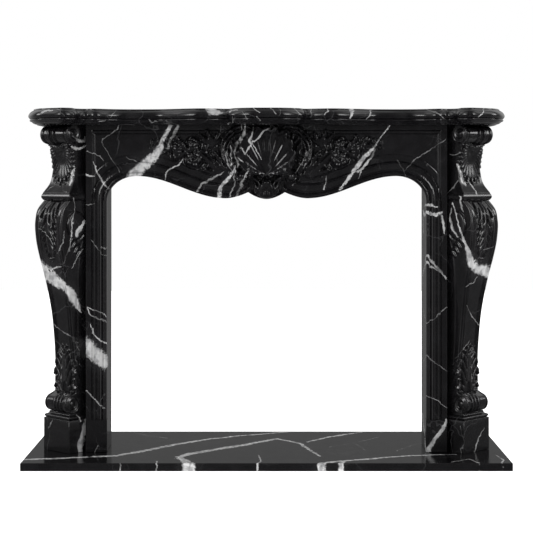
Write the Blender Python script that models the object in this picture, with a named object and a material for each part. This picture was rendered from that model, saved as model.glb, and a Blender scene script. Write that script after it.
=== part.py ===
"""Fireplace mantel in black marble with white veins, carved in the French manner.

Two canted console legs and two moulded pilasters carry a frieze with an arched lower
edge, a shell and flower sprays, and a serpentine shelf. Plain slabs return to the wall
behind them, and all of it stands on a hearth slab. Metres, +Z up, -Y is the front, and
the origin is at the middle of the hearth slab's underside.
"""

import math
from dataclasses import dataclass

import bmesh
import bpy
import numpy as np
from mathutils import Vector

# Driving dimensions
GAP = 0.0003
HEARTH_WIDTH = 1.524
HEARTH_DEPTH = 0.580
HEARTH_THICKNESS = 0.025
MANTEL_HEIGHT = 1.100
SHELF_THICKNESS = 0.050
WALL_Y = 0.050
OPENING_HALF_WIDTH = 0.514
PILASTER_OUTER = 0.580
FRONT_Y = -0.109
SLAB_THICKNESS = 0.040
RETURN_THICKNESS = 0.030
RETURN_OUTER = 0.688
LEG_BACK_Y = -0.011
PLINTH_HEIGHT = 0.105
PLINTH_PROUD = 0.003
PLINTH_OVERHANG = 0.002
BASE_HEIGHT = 0.127
SEAM_HEIGHT = 0.808
ARRIS = 0.0015

# Heights in the model, from the heights above the hearth
FLOOR = HEARTH_THICKNESS
SHELF_UNDERSIDE = FLOOR + MANTEL_HEIGHT - SHELF_THICKNESS
SEAM = FLOOR + SEAM_HEIGHT

# The leg: the middle of its block's front face in plan, turned 45 degrees outward
LEG_FACE_X = -0.6775
LEG_FACE_Y = -0.0935
DIAGONAL = math.sqrt(0.5)
BLOCK_HALF_WIDTH = 0.0658
INNER_REACH = (-PILASTER_OUTER - GAP - LEG_FACE_X) / DIAGONAL
OUTER_REACH = (LEG_BACK_Y - GAP - LEG_FACE_Y) / DIAGONAL
EDGE_STEP = 0.004
DRUM_STEP = 0.0015

# The rolls that end the leg: radius, half length, how far out and how high they sit
ROLL_SWEEP = math.radians(80)
LOWER_ROLL = (0.0275, 0.0565, -0.024)
UPPER_ROLL = (0.0285, 0.0700, -0.016)

# Height above the hearth against how far out the leg's face stands, and its half width
CONSOLE_OUT = [(0.190, -0.036), (0.294, -0.035), (0.371, -0.0285), (0.474, -0.016), (0.552, -0.001),
               (0.629, 0.018), (0.690, 0.029), (0.745, 0.030), (0.784, 0.019), (0.808, -0.003)]
CONSOLE_HALF = [(0.190, 0.055), (0.242, 0.054), (0.340, 0.0505), (0.423, 0.0505), (0.552, 0.059),
                (0.655, 0.067), (0.735, 0.070), (0.808, 0.068)]
NECK_OUT = [(0.833, 0.002), (0.862, -0.018), (0.900, -0.028), (0.930, -0.0295), (0.990, -0.016)]
NECK_HALF = [(0.833, 0.070), (0.862, 0.061), (0.900, 0.058), (0.990, 0.059)]
BAND = [(0.808, -0.003, 0.068), (0.8105, 0.001, 0.072), (0.8155, 0.0037, 0.0747), (0.8205, 0.0045, 0.0755),
        (0.8255, 0.0037, 0.0747), (0.8305, 0.001, 0.072)]
BLOCK_CAP = [(0.105, 0.0), (0.1055, -0.005), (0.107, -0.0045), (0.1095, -0.0018), (0.112, -0.001),
             (0.1145, -0.0018), (0.117, -0.0045), (0.119, -0.007), (0.1235, -0.0115), (0.127, -0.013)]

# The console's two leaves and the neck's: lower end, upper end, half width and rise
UPPER_LEAF = (0.630, 0.806, 0.049, 0.011)
LOWER_LEAF = (0.188, 0.340, 0.050, 0.010)
NECK_LEAF = (0.875, 0.990, 0.050, 0.010)
LOBE_PITCH = 0.044
LOBE_SLANT = 0.9
RIM_WIDTH = 0.013
RIM_HEIGHT = 0.003
SIDE_VOLUTE = (-0.028, 0.730, 0.036, 0.044, 0.004)

# The opening's upper edge, from the middle outward, as heights above the hearth
FAN_DROP = 0.8135
CUSP_X = 0.059
CUSP_HEIGHT = 0.8356
LOW_X = 0.130
LOW_HEIGHT = 0.816
APEX_X = 0.419
APEX_HEIGHT = 0.8876

# The moulding beside the opening: distance from the edge against height of the surface
MOULDING = [(0.000, -0.012), (0.003, -0.008), (0.0065, -0.006), (0.010, -0.008), (0.012, -0.0115),
            (0.018, -0.006), (0.023, -0.003), (0.033, -0.004), (0.042, -0.003), (0.0435, 0.0005),
            (0.046, -0.002), (0.048, 0.0)]

# The frieze's carving
SHELL_HINGE = 0.885
SHELL_TOP = 1.046
SHELL_RISE = 0.018
SHELL_RIDGE_ANGLE = math.radians(21)
SHELL_NARROWING = 0.45
SCROLL_CENTRE = (0.073, 0.960)
SCROLL_RADII = (0.068, 0.076)
SCROLL_RISE = 0.012
SCROLL_HALF_WIDTH = 0.018
SCROLL_EYES = [(0.058, 1.010, 0.020), (0.080, 0.888, 0.020)]
FAN = (0.0, 0.850, 0.065, 0.045, 0.012)
ROSES = [(0.2345, 0.996, 0.026, 0.015), (0.2310, 0.948, 0.030, 0.017), (0.2830, 0.978, 0.025, 0.012),
         (0.3250, 1.000, 0.022, 0.009), (0.3600, 0.990, 0.020, 0.007), (0.1950, 1.025, 0.024, 0.008),
         (0.1800, 0.985, 0.024, 0.009), (0.1980, 0.912, 0.024, 0.008)]
SPRAY_STEM = [(0.105, 0.888), (0.150, 0.915), (0.190, 0.960), (0.260, 0.972), (0.355, 0.990)]
SPRAY_HALF_WIDTH = 0.020
SPRAY_RISE = 0.008
# Least relief that counts as carving, and the stretch over which the shell rises from its hinge
CARVED = 0.0002
HINGE_SLOPE = 0.024

# The shelf: half of its top edge in plan, bow, notch, shoulder, hollow, notch and end lobe
SHELF_EDGE = [(0.0, -0.273), (0.045, -0.271), (0.083, -0.252), (0.106, -0.225), (0.121, -0.193),
              (0.159, -0.209), (0.208, -0.222), (0.253, -0.206), (0.293, -0.181), (0.332, -0.160),
              (0.371, -0.153), (0.420, -0.150), (0.466, -0.156), (0.502, -0.172), (0.545, -0.199),
              (0.578, -0.189), (0.597, -0.205), (0.612, -0.262), (0.632, -0.273), (0.661, -0.257),
              (0.704, -0.225), (0.729, -0.184), (0.744, -0.130), (0.747, -0.080), (0.747, -0.030)]
SHELF_STEPS = 31
SHELF_SMOOTHING = 3
# Depth below the top against how far the surface stands outside the top edge
SHELF_PROFILE = [(0.0500, -0.010), (0.0475, -0.009), (0.0435, 0.001), (0.0395, 0.007), (0.0385, 0.0105),
                 (0.0350, 0.013), (0.0310, 0.0105), (0.0300, 0.013), (0.0240, 0.017), (0.0160, 0.0155),
                 (0.0090, 0.010), (0.0040, 0.002), (0.0030, 0.0), (0.0, 0.0)]

# How closely the surfaces are modelled
LEAF_SPACING = 0.0120
PANEL_SPACING = 0.034
ROLL_STEPS = 8
CONSOLE_COLUMNS = 12
CAPITAL_COLUMNS = 10
CONSOLE_SIDE_COLUMNS = 3
FRIEZE_LOWER_ROWS = [0.0, 0.003, 0.0065, 0.012, 0.023, 0.042, 0.0435, 0.048]
FRIEZE_UPPER_ROWS = 13
FRIEZE_COLUMN_SPANS = [(CUSP_X, 0.0085), (0.155, 0.0080), (0.375, 0.0125), (0.470, 0.020)]
HAUNCH_COLUMNS = [0.486, 0.498, 0.507, *(OPENING_HALF_WIDTH + row for row in FRIEZE_LOWER_ROWS),
                  PILASTER_OUTER]
SLOPE_STEP = 0.001
STRETCH_LIMIT = 1.3
SHARP_ANGLE = math.radians(35)
BLACK = (0.012, 0.012, 0.013)
HEARTH_BLACK = (0.016, 0.016, 0.017)
ROUGHNESS = 0.15


@dataclass(frozen=True)
class Station:
    """One level of a leg: its height above the hearth and how its face stands there."""

    height: float
    out: float
    half_front: float
    half_body: float
    back: float


def smooth_through(knots, at):
    """Cubic curve through knots of (place, value), read at a place or an array of places."""
    places, values = np.array(knots).T
    slopes = np.gradient(values, places)
    index = np.clip(np.searchsorted(places, at) - 1, 0, len(places) - 2)
    span = places[index + 1] - places[index]
    part = np.clip((at - places[index]) / span, 0, 1)
    left = (1 - part) ** 2 * ((1 + 2 * part) * values[index] + part * span * slopes[index])
    right = part ** 2 * ((3 - 2 * part) * values[index + 1] - (1 - part) * span * slopes[index + 1])
    return left + right


def ridge(distance, half_width, rise):
    """Rounded ridge of a given half width, nothing beyond it."""
    return rise * np.cos(np.clip(distance / half_width, 0, 1) * math.pi / 2) ** 2


def dome(distance, radius, rise):
    """Round boss of a given radius, nothing beyond it."""
    return rise * np.clip(1 - (distance / radius) ** 2, 0, 1)


def distance_to_line(points, x, z):
    """Least distance from (x, z) to the line through points."""
    best = np.full(np.shape(x), np.inf)
    for (ax, az), (bx, bz) in zip(points, points[1:]):
        length = (bx - ax) ** 2 + (bz - az) ** 2
        part = np.clip(((x - ax) * (bx - ax) + (z - az) * (bz - az)) / length, 0, 1)
        best = np.minimum(best, np.hypot(x - ax - part * (bx - ax), z - az - part * (bz - az)))
    return best


def leg_point(across, out):
    """Plan position of a point of the left leg, across and out of its canted face."""
    return (LEG_FACE_X + DIAGONAL * (across - out), LEG_FACE_Y - DIAGONAL * (across + out))


def loft(name, rings, material):
    """Closed solid through rings of equal count, given from the bottom up."""
    mesh = bmesh.new()
    rows = [[mesh.verts.new(point) for point in ring] for ring in rings]
    count = len(rows[0])
    for lower, upper in zip(rows, rows[1:]):
        for i in range(count):
            j = (i + 1) % count
            mesh.faces.new((lower[i], lower[j], upper[j], upper[i]))
    for row in (rows[0], rows[-1]):
        rim = [mesh.edges.get((row[i - 1], row[i])) for i in range(count)]
        bmesh.ops.triangle_fill(mesh, use_beauty=True, edges=rim)
    bmesh.ops.recalc_face_normals(mesh, faces=mesh.faces[:])
    return finished(name, mesh, material)


def finished(name, mesh, material):
    """Object from a bmesh, its faces made triangles, shaded smooth with sharp edges kept."""
    bmesh.ops.triangulate(mesh, faces=mesh.faces[:])
    data = bpy.data.meshes.new(name)
    mesh.to_mesh(data)
    mesh.free()
    data.shade_smooth()
    data.set_sharp_from_angle(angle=SHARP_ANGLE)
    data.materials.append(material)
    obj = bpy.data.objects.new(name, data)
    bpy.context.collection.objects.link(obj)
    return obj


def mirrored(obj, name):
    """The same piece on the other side of the mantel."""
    mesh = bmesh.new()
    mesh.from_mesh(obj.data)
    for vertex in mesh.verts:
        vertex.co.x = -vertex.co.x
    bmesh.ops.reverse_faces(mesh, faces=mesh.faces[:])
    return finished(name, mesh, obj.data.materials[0])


def slab(name, low, high, material):
    """Sawn slab between two corners with its edges eased."""
    mesh = bmesh.new()
    bmesh.ops.create_cube(mesh, size=1)
    low, high = Vector(low), Vector(high)
    for vertex in mesh.verts:
        vertex.co = (low + high) / 2 + vertex.co * (high - low)
    bmesh.ops.bevel(mesh, geom=mesh.edges[:], offset=ARRIS, segments=1, profile=0.5, affect="EDGES")
    return finished(name, mesh, material)


def marble(name, colour):
    """Polished marble with the stone's colour."""
    material = bpy.data.materials.new(name)
    material.use_nodes = True
    shader = material.node_tree.nodes["Principled BSDF"]
    shader.inputs["Base Color"].default_value = (*colour, 1)
    shader.inputs["Roughness"].default_value = ROUGHNESS
    shader.inputs["Metallic"].default_value = 0.0
    return material


def leaf(across, height, spec):
    """Leaf with slanted lobes, swelling between its foot and its tip."""
    low, high, half_width, rise = spec
    along = np.clip((height - low) / (high - low), 0, 1)
    width = half_width * (0.42 + 0.58 * np.sin(math.pi * along ** 0.8))
    body = np.clip(1 - (np.abs(across) / width) ** 2, 0, 1) ** 0.8
    lobes = 0.8 + 0.2 * np.cos(2 * math.pi * (height + LOBE_SLANT * np.abs(across)) / LOBE_PITCH)
    ends = np.sin(math.pi * along) ** 0.6
    inside = (height > low) & (height < high)
    return np.where(inside, rise * body * lobes * ends, 0)


def console_face(across, height, station):
    """Carving of the console's front: its rims and two leaves."""
    rim = ridge(np.abs(np.abs(across) - station.half_front + RIM_WIDTH), RIM_WIDTH, RIM_HEIGHT)
    return max(rim, leaf(across, height, UPPER_LEAF) + leaf(across, height, LOWER_LEAF))


def neck_face(across, height, station):
    """Carving of the neck's front: a leaf."""
    return leaf(across, height, NECK_LEAF)


def roll_face(across, height, station):
    """Beads that bind a roll, at its middle and beside it."""
    beads = [ridge(abs(across - place * station.half_front), 0.006, 0.0025) for place in (-0.3, 0, 0.3)]
    return max(beads)


def plain_face(across, height, station):
    """Face with no carving."""
    return 0.0


def plain_side(out, height):
    """Side with no carving."""
    return 0.0


def volute_side(out, height):
    """Oval scroll on the console's side."""
    centre_out, centre_height, half_out, half_height, rise = SIDE_VOLUTE
    return dome(math.hypot((out - centre_out) / half_out, (height - centre_height) / half_height), 1, rise)


def leg_ring(station, columns, side_columns, face, side):
    """One ring of the left leg, round its front, its inner side, its back and its outer side."""
    plan = []
    for i in range(columns + 1):
        across = station.half_front * (2 * i / columns - 1)
        plan.append((across, station.out + face(across, station.height, station)))
    start = station.back - DRUM_STEP
    body = station.half_body
    plan.append((station.half_front, station.back))
    for end, turn in ((body - INNER_REACH, 1), (body - OUTER_REACH, -1)):
        run = []
        for i in range(side_columns):
            out = start + (end - start) * i / side_columns
            run.append((turn * (body + side(out, station.height)), out))
        run.append((turn * body, end))
        plan.extend(run[::turn])
        if turn == 1:
            plan.append(None)
    plan.append((-station.half_front, station.back))
    corner = (-PILASTER_OUTER - GAP, LEG_BACK_Y - GAP)
    return [(*(leg_point(*spot) if spot else corner), FLOOR + station.height) for spot in plan]


def plain_station(height, out, half):
    """Level of a leg with no roll."""
    return Station(height, out, half, half, out - EDGE_STEP)


def roll_levels(roll, middle_height, body):
    """Levels of a roll, evenly spaced round its curve, with its face."""
    radius, half_length, out = roll
    levels = []
    for i in range(ROLL_STEPS + 1):
        angle = ROLL_SWEEP * (2 * i / ROLL_STEPS - 1)
        height, chord = middle_height + radius * math.sin(angle), radius * math.cos(angle)
        levels.append((Station(height, out + chord, half_length, body, out - chord), roll_face))
    return levels


def curved_levels(heights, out_knots, half_knots, face):
    """Levels of a curved stretch of the leg, with its face."""
    outs, halves = smooth_through(out_knots, heights), smooth_through(half_knots, heights)
    return [(plain_station(*level), face) for level in zip(heights, outs, halves)]


def evenly(low, high, spacing):
    """Heights from low to high, no further apart than the spacing."""
    return np.linspace(low, high, max(2, math.ceil((high - low) / spacing) + 1))


def leg_loft(name, levels, columns, side_columns, side, material):
    """Solid of the left leg through its levels, each a station with its face."""
    rings = [leg_ring(station, columns, side_columns, face, side) for station, face in levels]
    return loft(name, rings, material)


def base_block(material):
    """Canted block under the leg with its moulded cap."""
    levels = [(plain_station(height, inset, BLOCK_HALF_WIDTH + inset), plain_face)
              for height, inset in [(GAP, 0.0), *BLOCK_CAP]]
    return leg_loft("base_block_left", levels, 1, 1, plain_side, material)


def console(material):
    """Carved console: a roll at the foot, a waist, and a swelling knee with a leaf."""
    shin, knee = LOWER_LEAF[1], UPPER_LEAF[0]
    heights = np.concatenate((evenly(CONSOLE_OUT[0][0], shin, LEAF_SPACING),
                              evenly(shin, knee, PANEL_SPACING)[1:],
                              evenly(knee, SEAM_HEIGHT, LEAF_SPACING)[1:]))
    roll_middle = BASE_HEIGHT + GAP + LOWER_ROLL[0] * math.sin(ROLL_SWEEP)
    levels = roll_levels(LOWER_ROLL, roll_middle, CONSOLE_HALF[0][1])
    levels += curved_levels(heights, CONSOLE_OUT, CONSOLE_HALF, console_face)
    return leg_loft("console_left", levels, CONSOLE_COLUMNS, CONSOLE_SIDE_COLUMNS, volute_side, material)


def capital(material):
    """Neck of the leg above its band, with a leaf and a roll under the shelf."""
    levels = [(plain_station(height + GAP, out, half), plain_face) for height, out, half in BAND]
    heights = evenly(NECK_OUT[0][0], NECK_OUT[-1][0], LEAF_SPACING)
    levels += curved_levels(heights, NECK_OUT, NECK_HALF, neck_face)
    roll_middle = MANTEL_HEIGHT - SHELF_THICKNESS - UPPER_ROLL[0] * math.sin(ROLL_SWEEP)
    levels += roll_levels(UPPER_ROLL, roll_middle, NECK_HALF[-1][1])
    return leg_loft("capital_left", levels, CAPITAL_COLUMNS, 1, plain_side, material)


def pilaster(material):
    """Upright beside the opening, its moulding on the inner edge."""
    inner = -OPENING_HALF_WIDTH
    front = [(inner - distance, FRONT_Y - rise) for distance, rise in reversed(MOULDING)]
    back = FRONT_Y + SLAB_THICKNESS
    plan = [(-PILASTER_OUTER, FRONT_Y), *front, (inner, back), (-PILASTER_OUTER, back)]
    low, high = FLOOR + PLINTH_HEIGHT + GAP, SEAM
    return loft("pilaster_left", [[(x, y, z) for x, y in plan] for z in (low, high)], material)


def arch_height(x):
    """Height above the hearth of the opening's upper edge at a distance from the middle."""
    x = abs(x)
    if x < CUSP_X:
        return FAN_DROP + (CUSP_HEIGHT - FAN_DROP) * (x / CUSP_X) ** 1.8
    if x < LOW_X:
        return LOW_HEIGHT + (CUSP_HEIGHT - LOW_HEIGHT) * ((LOW_X - x) / (LOW_X - CUSP_X)) ** 1.7
    if x < APEX_X:
        turn = math.pi * (x - LOW_X) / (APEX_X - LOW_X)
        return LOW_HEIGHT + (APEX_HEIGHT - LOW_HEIGHT) * (1 - math.cos(turn)) / 2
    if x < OPENING_HALF_WIDTH:
        part = (x - APEX_X) / (OPENING_HALF_WIDTH - APEX_X)
        return SEAM_HEIGHT + (APEX_HEIGHT - SEAM_HEIGHT) * math.sqrt(1 - part ** 2)
    return SEAM_HEIGHT


def arch_stretch(x):
    """How much further apart the moulding's lines stand, measured straight up, where the arch slopes."""
    slope = (arch_height(x + SLOPE_STEP) - arch_height(x - SLOPE_STEP)) / (2 * SLOPE_STEP)
    return min(math.hypot(1, slope), STRETCH_LIMIT)


def arch_line():
    """Opening's edge from the low point outward, down past the seam, for the moulding to follow."""
    turns = np.linspace(0, math.pi / 2, 10)
    curve = [(x, arch_height(x)) for x in np.linspace(CUSP_X, APEX_X, 24)]
    reach = OPENING_HALF_WIDTH - APEX_X
    curve += [(APEX_X + reach * math.sin(t), SEAM_HEIGHT + (APEX_HEIGHT - SEAM_HEIGHT) * math.cos(t))
              for t in turns[1:]]
    return curve + [(OPENING_HALF_WIDTH, SEAM_HEIGHT - 0.1)]


def shell_carving(x, height):
    """Fluted shell, its ridges spreading from the hinge, and the fan below it."""
    up = height - SHELL_HINGE
    angle = np.arctan2(x, up)
    reach = (SHELL_TOP - SHELL_HINGE) * (1 - SHELL_NARROWING * (np.abs(angle) / (math.pi / 2)) ** 1.2)
    part = np.hypot(x, up) / reach
    flutes = 0.78 + 0.22 * np.cos(2 * math.pi * angle / SHELL_RIDGE_ANGLE)
    body = np.sin(math.pi * np.clip(part, 0, 1) ** 0.75) ** 0.8
    shell = SHELL_RISE * body * flutes * np.clip(up / HINGE_SLOPE, 0, 1)
    fan_x, fan_height, half_width, half_height, rise = FAN
    fan = dome(np.hypot((x - fan_x) / half_width, (height - fan_height) / half_height), 1, rise)
    return np.maximum(shell, fan)


def spray_carving(x, height):
    """C scroll beside the shell, and the stem, leaves and roses beyond it."""
    (cx, cz), (rx, rz) = SCROLL_CENTRE, SCROLL_RADII
    turns = np.linspace(math.radians(75), math.radians(-80), 14)
    arc = [(cx + rx * math.cos(turn), cz + rz * math.sin(turn)) for turn in turns]
    relief = ridge(distance_to_line(arc, x, height), SCROLL_HALF_WIDTH, SCROLL_RISE)
    for ex, ez, radius in SCROLL_EYES:
        relief = np.maximum(relief, dome(np.hypot(x - ex, height - ez), radius, SCROLL_RISE))
    relief = np.maximum(relief, ridge(distance_to_line(SPRAY_STEM, x, height), SPRAY_HALF_WIDTH, SPRAY_RISE))
    for rose_x, rose_z, radius, rise in ROSES:
        relief = np.maximum(relief, dome(np.hypot(x - rose_x, height - rose_z), radius, rise))
    return relief


def frieze_relief(x, height, edge):
    """Height of the frieze's surface over its front plane: the moulding, then the carving."""
    x = np.abs(x)
    distances, rises = np.array(MOULDING).T
    moulding = np.interp(distance_to_line(edge, x, height), distances, rises)
    carving = np.maximum(shell_carving(x, height), spray_carving(x, height))
    return np.where((x < CUSP_X) | (carving > CARVED), carving, moulding)


def frieze_columns():
    """Places of the frieze's columns, close together under the carving and at the arch's haunch."""
    half = [0.0]
    for reach, spacing in FRIEZE_COLUMN_SPANS:
        half.extend(evenly(half[-1], reach, spacing)[1:])
    half = np.array(half + HAUNCH_COLUMNS)
    return np.concatenate((-half[:0:-1], half))


def frieze(material):
    """Carved slab over the opening."""
    edge = arch_line()
    high, back = MANTEL_HEIGHT - SHELF_THICKNESS, FRONT_Y + SLAB_THICKNESS
    mesh = bmesh.new()
    front, back_low, back_high = [], [], []
    for x in frieze_columns():
        low = arch_height(x) + (GAP if abs(x) >= OPENING_HALF_WIDTH else 0)
        lower = low + np.array(FRIEZE_LOWER_ROWS) * arch_stretch(x)
        heights = np.concatenate((lower, np.linspace(lower[-1], high, FRIEZE_UPPER_ROWS + 1)[1:]))
        relief = frieze_relief(np.full(len(heights), x), heights, edge)
        relief[-1] = 0
        front.append([mesh.verts.new((x, FRONT_Y - rise, FLOOR + z)) for rise, z in zip(relief, heights)])
        back_low.append(mesh.verts.new((x, back, FLOOR + low)))
        back_high.append(mesh.verts.new((x, back, FLOOR + high)))
    for i in range(len(front) - 1):
        for j in range(len(front[0]) - 1):
            mesh.faces.new((front[i][j], front[i + 1][j], front[i + 1][j + 1], front[i][j + 1]))
        mesh.faces.new((back_low[i], back_low[i + 1], front[i + 1][0], front[i][0]))
        mesh.faces.new((front[i][-1], front[i + 1][-1], back_high[i + 1], back_high[i]))
        mesh.faces.new((back_low[i + 1], back_low[i], back_high[i], back_high[i + 1]))
    mesh.faces.new((back_low[0], *front[0], back_high[0]))
    mesh.faces.new((back_high[-1], *reversed(front[-1]), back_low[-1]))
    return finished("frieze", mesh, material)


def shelf_outline():
    """Top edge of the shelf in plan with the way out at each point, left end to right end."""
    along = np.concatenate(([0], np.cumsum(np.hypot(*np.diff(np.array(SHELF_EDGE).T)))))
    xs, ys = np.array(SHELF_EDGE).T
    places = np.linspace(0, along[-1], SHELF_STEPS)
    half = np.array([smooth_through(list(zip(along, values)), places) for values in (xs, ys)]).T
    line = np.concatenate((half[:0:-1] * (-1, 1), half))
    tangent = np.gradient(line, axis=0)
    outward = np.stack((tangent[:, 1], -tangent[:, 0]), axis=1)
    outward /= np.linalg.norm(outward, axis=1)[:, None]
    for _ in range(SHELF_SMOOTHING):
        padded = np.pad(outward, ((1, 1), (0, 0)), mode="edge")
        outward = (padded[:-2] + 2 * padded[1:-1] + padded[2:]) / 4
        outward /= np.linalg.norm(outward, axis=1)[:, None]
    return line, outward


def shelf(material):
    """Serpentine shelf with its edge moulding on the front and the two ends."""
    line, outward = shelf_outline()
    rings = []
    for depth, out in SHELF_PROFILE:
        plan = line + outward * out
        z = FLOOR + MANTEL_HEIGHT - depth + (GAP if depth == SHELF_THICKNESS else 0)
        ring = [(x, y, z) for x, y in plan]
        rings.append([(ring[0][0], WALL_Y, z), *ring, (ring[-1][0], WALL_Y, z)])
    return loft("shelf", rings, material)


def build():
    """Make every piece of the mantel."""
    for obj in list(bpy.data.objects):
        bpy.data.objects.remove(obj)
    black = marble("black_marble", BLACK)
    hearth = marble("hearth_marble", HEARTH_BLACK)
    slab("hearth_slab", (-HEARTH_WIDTH / 2, -HEARTH_DEPTH / 2, 0),
         (HEARTH_WIDTH / 2, HEARTH_DEPTH / 2, HEARTH_THICKNESS), hearth)
    top, inner = SHELF_UNDERSIDE, OPENING_HALF_WIDTH
    panel_back = FRONT_Y + SLAB_THICKNESS
    left_pieces = {
        "base_block": base_block(black),
        "console": console(black),
        "capital": capital(black),
        "pilaster": pilaster(black),
        "pilaster_plinth": slab("pilaster_plinth_left",
                                (-PILASTER_OUTER, FRONT_Y - PLINTH_PROUD, FLOOR + GAP),
                                (-inner + PLINTH_OVERHANG, panel_back, FLOOR + PLINTH_HEIGHT), black),
        "inner_return": slab("inner_return_left",
                             (-inner - RETURN_THICKNESS, panel_back + GAP, FLOOR + GAP),
                             (-inner, WALL_Y, top), black),
        "outer_return": slab("outer_return_left",
                             (-RETURN_OUTER, LEG_BACK_Y, FLOOR + GAP),
                             (-RETURN_OUTER + RETURN_THICKNESS, WALL_Y, top), black),
    }
    for name, obj in left_pieces.items():
        mirrored(obj, name + "_right")
    frieze(black)
    shelf(black)


build()
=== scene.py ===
"""Carved fireplace mantel in black marble with white veins, on its hearth slab.

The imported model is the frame. Its plain slabs keep their meshes and get their stone. The moulded and
carved stones are modelled again with their fine carving: each starts as a primitive grid, which is
wrapped round the stone, shaped, welded and turned outward. Lengths are metres, and heights of the
carving are measured above the hearth slab's top unless a name says otherwise.
"""

import logging
import math
from collections.abc import Callable, Sequence
from dataclasses import dataclass, field
from enum import Enum

import bpy
import numpy as np
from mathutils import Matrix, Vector


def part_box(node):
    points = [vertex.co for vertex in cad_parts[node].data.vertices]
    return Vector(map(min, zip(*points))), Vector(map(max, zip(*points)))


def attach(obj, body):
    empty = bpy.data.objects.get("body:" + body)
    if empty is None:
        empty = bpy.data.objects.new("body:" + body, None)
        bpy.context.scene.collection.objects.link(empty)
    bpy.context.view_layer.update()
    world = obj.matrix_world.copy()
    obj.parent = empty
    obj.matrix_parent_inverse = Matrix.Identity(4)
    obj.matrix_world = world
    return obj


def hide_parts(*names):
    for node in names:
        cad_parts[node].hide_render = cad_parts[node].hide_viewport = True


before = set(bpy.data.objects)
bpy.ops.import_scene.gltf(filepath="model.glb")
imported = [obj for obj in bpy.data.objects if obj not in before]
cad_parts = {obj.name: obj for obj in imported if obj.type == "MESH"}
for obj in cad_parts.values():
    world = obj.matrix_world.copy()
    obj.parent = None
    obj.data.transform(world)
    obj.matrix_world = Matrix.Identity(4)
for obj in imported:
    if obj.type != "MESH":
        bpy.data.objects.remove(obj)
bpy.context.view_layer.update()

log = logging.getLogger("mantel")

MILLIMETRE = 0.001
DIAGONAL = math.sqrt(0.5)
GAP = 0.3 * MILLIMETRE
WELD = 0.02 * MILLIMETRE
SMOOTH_ANGLE = math.radians(48)
LEAST_CARVED = 0.2 * MILLIMETRE
POLISHINGS = 2
HEARTH_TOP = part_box("hearth_slab")[1].z

Spot = tuple[float, float]
Path = Sequence[Spot]
Place = tuple[float, float, float]
Colour = tuple[float, float, float, float]
Strand = tuple[Path, float, float, float]


class Side(Enum):
    """The two sides of the mantel, as the sign of X."""

    LEFT = -1
    RIGHT = 1


class Sheet(Enum):
    """The way a vein's sheet stands in the stone: upright, seen from the front, or seen from above."""

    FRONT = (1, 0, 1)
    TOP = (1, 1, 0)


# The photograph's camera, which also turns a place in the picture into a place on the stone

@dataclass(frozen=True)
class PictureCamera:
    """Level camera in front of the mantel, found from the hearth's edges and the canted legs."""

    distance: float = 4.925
    height: float = 0.9128
    focal_pixels: float = 1500.0
    frame_pixels: float = 533.0
    centre_pixel: float = 266.55
    horizon_pixel: float = 176.0
    sensor: float = 36.0

    def on_upright(self, column: float, row: float, y: float) -> Spot:
        """Place of a picture point on the upright plane at y.

        Args:
            column: pixels from the picture's left.
            row: pixels from the picture's top.
            y: depth of the plane.

        Returns:
            X and Z in metres.
        """
        scale = (self.distance + y) / self.focal_pixels
        return (column - self.centre_pixel) * scale, self.height - (row - self.horizon_pixel) * scale

    def on_hearth(self, column: float, row: float) -> Spot:
        """Place of a picture point on the hearth's top.

        Args:
            column: pixels from the picture's left.
            row: pixels from the picture's top.

        Returns:
            X and Y in metres.
        """
        scale = (self.height - HEARTH_TOP) / (row - self.horizon_pixel)
        return (column - self.centre_pixel) * scale, scale * self.focal_pixels - self.distance

    def build(self) -> bpy.types.Object:
        """Adds the camera and makes it the scene's own.

        Returns:
            The camera object.
        """
        bpy.ops.object.camera_add(location=(0, -self.distance, self.height), rotation=(math.pi / 2, 0, 0))
        camera = bpy.context.active_object
        camera.name = "photograph_camera"
        camera.data.sensor_width = self.sensor
        camera.data.lens = self.sensor * self.focal_pixels / self.frame_pixels
        camera.data.shift_y = (self.horizon_pixel - self.frame_pixels / 2) / self.frame_pixels
        bpy.context.scene.camera = camera
        return camera


CAMERA = PictureCamera()


# Curves and heights that the carving is made of

def smoothstep(low: float, high: float, value: np.ndarray) -> np.ndarray:
    """Smooth rise from 0 at low to 1 at high."""
    part = np.clip((value - low) / (high - low), 0, 1)
    return part * part * (3 - 2 * part)


def half_round(reach: np.ndarray) -> np.ndarray:
    """Half circle's rise: 1 at 0, and nothing from 1 outward."""
    return np.sqrt(np.clip(1 - reach ** 2, 0, 1))


def ridge(offset: np.ndarray, width: float) -> np.ndarray:
    """Soft ridge: 1 at 0, and about a third at its width."""
    return np.exp(-(offset / width) ** 2)


def through(knots: Path, places: np.ndarray) -> np.ndarray:
    """Cubic curve through knots.

    Args:
        knots: pairs of place and value, with rising places.
        places: where the curve is read.

    Returns:
        The curve's values there.
    """
    at, values = np.array(knots).T
    slopes = np.gradient(values, at)
    index = np.clip(np.searchsorted(at, places) - 1, 0, len(at) - 2)
    span = at[index + 1] - at[index]
    part = np.clip((places - at[index]) / span, 0, 1)
    left = (1 - part) ** 2 * ((1 + 2 * part) * values[index] + part * span * slopes[index])
    right = part ** 2 * ((3 - 2 * part) * values[index + 1] - (1 - part) * span * slopes[index + 1])
    return left + right


def curve(spots: Path, steps: int = 6) -> list[Spot]:
    """Smooth line through a few spots.

    Args:
        spots: the places it passes.
        steps: points between each two of them.

    Returns:
        The line's points.
    """
    spots = np.array(spots, float)
    along = np.arange(len(spots), dtype=float)
    places = np.linspace(0, len(spots) - 1, (len(spots) - 1) * steps + 1)
    columns = [through(list(zip(along, column)), places) for column in spots.T]
    return list(zip(*columns))


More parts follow.
